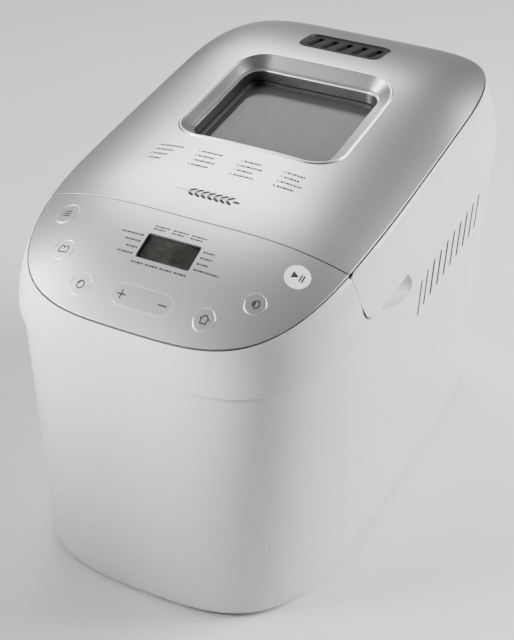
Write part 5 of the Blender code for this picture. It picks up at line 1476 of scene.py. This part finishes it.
def element():
    """A loop round the foot of the pan, whose ends turn out through the rear wall."""
    half_x, half_y, radius, bend = 0.0780, 0.1220, 0.028, 0.0090
    centre, rear_end = CHAMBER_Y - 0.0020, 0.1835
    low, high = centre - half_y, centre + half_y
    points = [(ELEMENT_X, rear_end), (ELEMENT_X, high + bend)]
    points += [(ELEMENT_X + bend - bend * math.cos(a), high + bend - bend * math.sin(a))
               for a in np.radians(np.arange(10, 91, 10))]
    for middle_y, start in ((high - radius, 90), (low + radius, 0)):
        points += [(half_x - radius + radius * math.cos(a), middle_y + radius * math.sin(a))
                   for a in np.radians(np.arange(start, start - 91, -6))]
    route = [(x, y, ELEMENT_Z) for x, y in points + [(-x, y) for x, y in points[::-1]]]
    swept("element_tube", route, 0.00325, HEATER, "body", slot="heater_sheath",
          replaced=["heating_element"])


def liner_top(y):
    return LINER_RISE + LINER_SLOPE * (y - CHAMBER_Y)


def sloped(low, high, shares):
    """Rings from one ring to another whose heights follow an S-curve."""
    rings = []
    for share, ease in shares:
        ring = between(low, high, share)
        ring[:, 2] = between(low[:, 2], high[:, 2], ease)
        rings.append(ring)
    return rings


def liner():
    """A pressed sheet under the lid with a hole for the window, and the inner pane on it."""
    hole_y = (WINDOW_FRONT + WINDOW_REAR) / 2

    def plan(half_x, half_y, radius):
        return np.array(rounded_rectangle(half_x, half_y, radius, (0.0, CHAMBER_Y + 0.0005), 14, 8))

    def raised(outline, lift):
        return np.c_[outline, liner_top(outline[:, 1]) + lift]

    hole = np.array(rounded_rectangle(0.0450, 0.0500, 0.010, (0.0, hole_y), 14, 8))
    edge = plan(0.0980, 0.1400, 0.024)
    upper_foot = with_height(plan(0.0935, 0.1382, 0.024), LINER_EDGE + LINER_SHEET)
    lower_foot = with_height(plan(0.0925, 0.1374, 0.024), LINER_EDGE)
    rings = [with_height(edge, LINER_EDGE), with_height(edge, LINER_EDGE + LINER_SHEET), upper_foot]
    rings += sloped(upper_foot, raised(plan(0.0700, 0.1330, 0.030), LINER_SHEET), LINER_SLOPES[1:])
    rings += [raised(hole, LINER_SHEET), raised(hole, 0.0)]
    rings += sloped(lower_foot, raised(plan(0.0690, 0.1325, 0.030), 0.0), LINER_SLOPES[::-1])
    loft("liner_pressing", rings, LINER_STEEL, "lid", joined=True, slot="steel", replaced=["lid_liner"])
    pane = []
    for inset, rise in ((0.0003, 0.0013), (0.0, 0.0016), (0.0, 0.0035), (0.0003, 0.0038)):
        outline = rounded_rectangle(0.0500 - inset, 0.0550 - inset, 0.012, (0.0, hole_y), 10)
        pane.append([(x, y, liner_top(y) + rise) for x, y in outline])
    loft("inner_pane", pane, INNER_GLASS, "lid", slot="window_glass", replaced=["inner_glass"])


def paddle(name, y, turn, body):
    """A hub on the shaft and one swept blade with round edges."""
    hub_profile = fillet([(0.0046, 0.0770), (0.0105, 0.0770), (0.0090, 0.0990), (0.0046, 0.0990)],
                         (0.0002, 0.0008, 0.0012, 0.0004))
    hub = turned(name + "_blade", hub_profile, TIN, body, (0.0, y), joined=True, slot="coated_tin",
                 replaced=[name])
    rings = []
    for z, inset in ((0.0772, 0.0004), (0.0776, 0.0), (0.0850, 0.0), (0.0940, 0.0), (0.1020, 0.0002),
                     (0.1030, 0.0008)):
        share = (z - PADDLE_BOTTOM) / PADDLE_RISE
        tip = 0.0430 - 0.0110 * share ** 1.6 - inset
        half = 0.0036 - 0.0010 * share - inset * 0.6
        outline = [(0.0070, -half), (0.5 * tip, -half * 0.95 + 0.0004 * share)]
        outline += [(tip - half + half * math.cos(a), half * math.sin(a))
                    for a in np.radians(np.linspace(-80, 80, 9))]
        outline += [(0.5 * tip, half * 0.95 + 0.0004), (0.0070, half + 0.0008)]
        rings.append([(x * math.cos(turn) - v * math.sin(turn), y + x * math.sin(turn) + v * math.cos(turn),
                       z) for x, v in outline])
    apply_booleans(hub, [("UNION", joined_tool("blade", [skin(rings)]))], 40)


def deck():
    """Deck under the lid, with a raised lip round the mouth of the chamber."""
    sill = half_curve(SHOULDER[0] - WALL - 0.0026, SHOULDER[1], 0.085,
                      SHOULDER[3] - WALL - 0.0026, *SHOULDER[4:])
    y_front = -0.1080
    side = sill[: len(sill) // 2 + 1]
    x_end = float(np.interp(y_front, side[:, 1], side[:, 0]))
    behind = np.r_[[[x_end, y_front]], sill[sill[:, 1] > y_front]]
    outer = np.r_[resample(np.array([(0.0, y_front), (x_end, y_front)]), DECK_COUNTS[0]),
                  resample(behind, DECK_COUNTS[1])[1:]]

    def mouth(grow):
        half_y = CHAMBER_HALF[1] + grow
        return opening_half(CHAMBER_HALF[0] + grow, CHAMBER_RADIUS + grow, CHAMBER_Y - half_y,
                            CHAMBER_Y + half_y, 12, DECK_COUNTS)

    inset = outer * np.array([0.995, 1.0])
    rings = [with_height(outer, DECK_TOP - 0.0025), with_height(outer, DECK_TOP - 0.0006),
             with_height(inset, DECK_TOP)]
    rings += [with_height(between(inset, mouth(0.0075), share), DECK_TOP) for share in (0.3, 0.6, 0.9)]
    rings += [with_height(mouth(grow), DECK_TOP - drop) for grow, drop in (
        (0.0070, 0.0), (0.0068, 0.0004), (0.0062, 0.0005), (0.0040, 0.0), (0.0024, 0.0), (0.0018, 0.0003),
        (0.0018, 0.0025))]
    panel = loft_halves("deck_panel", rings, WHITE_INNER, "body", joined=True, slot="white_casing",
                        replaced=["inner_deck"])
    middle, half = 0.1257, 0.0084
    reliefs = [box_shape((side * middle - half, -0.1070, DECK_TOP - 0.010),
                         (side * middle + half, -0.0292, DECK_TOP + 0.004)) for side in (-1, 1)]
    apply_booleans(panel, [("DIFFERENCE", joined_tool("deck_reliefs", reliefs))], 30)


def feet():
    profile = fillet([(0.0004, 0.0003), (0.0060, 0.0003), (0.0066, 0.0), (0.0085, 0.0), (0.0100, 0.0012),
                      (0.0100, 0.0080), (0.0080, 0.0097), (0.0004, 0.0097)],
                     (0, 0.0002, 0.0002, 0.0005, 0.0008, 0.0008, 0.0006, 0))
    for row, x, y in (("front", 0.085, -0.160), ("rear", 0.090, 0.165)):
        for side, sign in (("left", -1), ("right", 1)):
            name = f"foot_{row}_{side}"
            turned(name + "_pad", profile, RUBBER, "body", (sign * x, y), slot="rubber", replaced=[name])


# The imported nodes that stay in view, by the finish and the width of softened edge that they take
KEPT = (
    (GREY_AND_SLOT_SHADE, 0.0006, ("base_plate",)),
    (GREY_AND_SLOT_SHADE, 0.0003, ("hinge_bracket_left", "hinge_bracket_right")),
    (STEEL, 0.0001, ("pan_clip_left", "pan_clip_right")),
    (STEEL, 0.0002, ("temperature_sensor", "hinge_pin_left", "hinge_pin_right", "motor_shaft",
                     "front_drive_shaft", "rear_drive_shaft", "front_drive_dog", "rear_drive_dog",
                     "front_pan_shaft", "rear_pan_shaft")),
    (CERAMIC, 0.0003, ("thermal_fuse",)),
    (CAST, 0.0004, ("drive_chassis",)),
    (CAST, 0.0006, ("motor",)),
    (BRONZE, 0.0003, ("front_bearing", "rear_bearing")),
    (BOARD, 0.0002, ("power_board", "control_board")),
    (DARK, 0.0003, ("cord_inlet",)),
    (RUBBER, 0.0002, ("drive_belt", "shaft_belt")),
    (NYLON, 0.0002, ("motor_pulley", "front_drive_pulley", "rear_drive_pulley")),
)


def dress(node, made, width):
    node.data.materials.clear()
    node.data.materials.append(made)
    soften = node.modifiers.new("softened_edges", "BEVEL")
    soften.width = width
    soften.segments = 2
    soften.limit_method = "ANGLE"
    soften.angle_limit = math.radians(40)


# Floor, light and camera

def floor_and_lights():
    def outline(half):
        return rounded_rectangle(half, half, 0.6, (0.0, 0.0), 8, 4)

    floor = loft("floor", [at_height(outline(half), z) for half, z in (
        (6.0, -0.02), (6.0, -0.0004), (5.9996, 0.0))], FLOOR, None)
    world = bpy.data.worlds.new("studio")
    bpy.context.scene.world = world
    world.use_nodes = True
    sky = world.node_tree.nodes["Background"]
    sky.inputs["Color"].default_value = (1.0, 1.0, 1.0, 1.0)
    sky.inputs["Strength"].default_value = WORLD_STRENGTH
    for name, size_x, size_y, power, place, aim, spread in LIGHTS:
        data = bpy.data.lights.new(name, "AREA")
        data.shape = "RECTANGLE"
        data.size, data.size_y = size_x, size_y
        data.energy = power
        data.spread = math.radians(spread)
        lamp = bpy.data.objects.new(name, data)
        lamp.location = place
        lamp.rotation_euler = (Vector(aim) - Vector(place)).to_track_quat("-Z", "Y").to_euler()
        bpy.context.scene.collection.objects.link(lamp)


def camera():
    data = bpy.data.cameras.new("photo_camera")
    data.lens = CAMERA_LENS
    data.clip_start = 0.05
    data.clip_end = 30.0
    item = bpy.data.objects.new("photo_camera", data)
    item.location = CAMERA_PLACE
    turn = Vector(CAMERA_ALONG).to_track_quat("-Z", "Y").to_matrix() @ Matrix.Rotation(CAMERA_ROLL, 3, "Z")
    item.rotation_euler = turn.to_euler()
    bpy.context.scene.collection.objects.link(item)
    bpy.context.scene.camera = item


lower_body()
front_housing()
control_fascia()
keys()
pill_ring()
printed("panel_labels", display_labels(), "body")
display()
lid_shell()
lid_plate()
printed("lid_programme_list", programme_list(), "lid")
printed("lid_wheat_motif", wheat_motif(), "lid")
key_icons()
window_bezel()
window_pane()
vent_grille()
deck()
chamber()
element()
pan()
pan_bail()
liner()
paddle("front_paddle", SHAFT_Y[0], 0.0, "front_kneader")
paddle("rear_paddle", SHAFT_Y[1], math.pi, "rear_kneader")
feet()
for finish, width, names in KEPT:
    for name in names:
        dress(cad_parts[name], finish, width)
floor_and_lights()
camera()
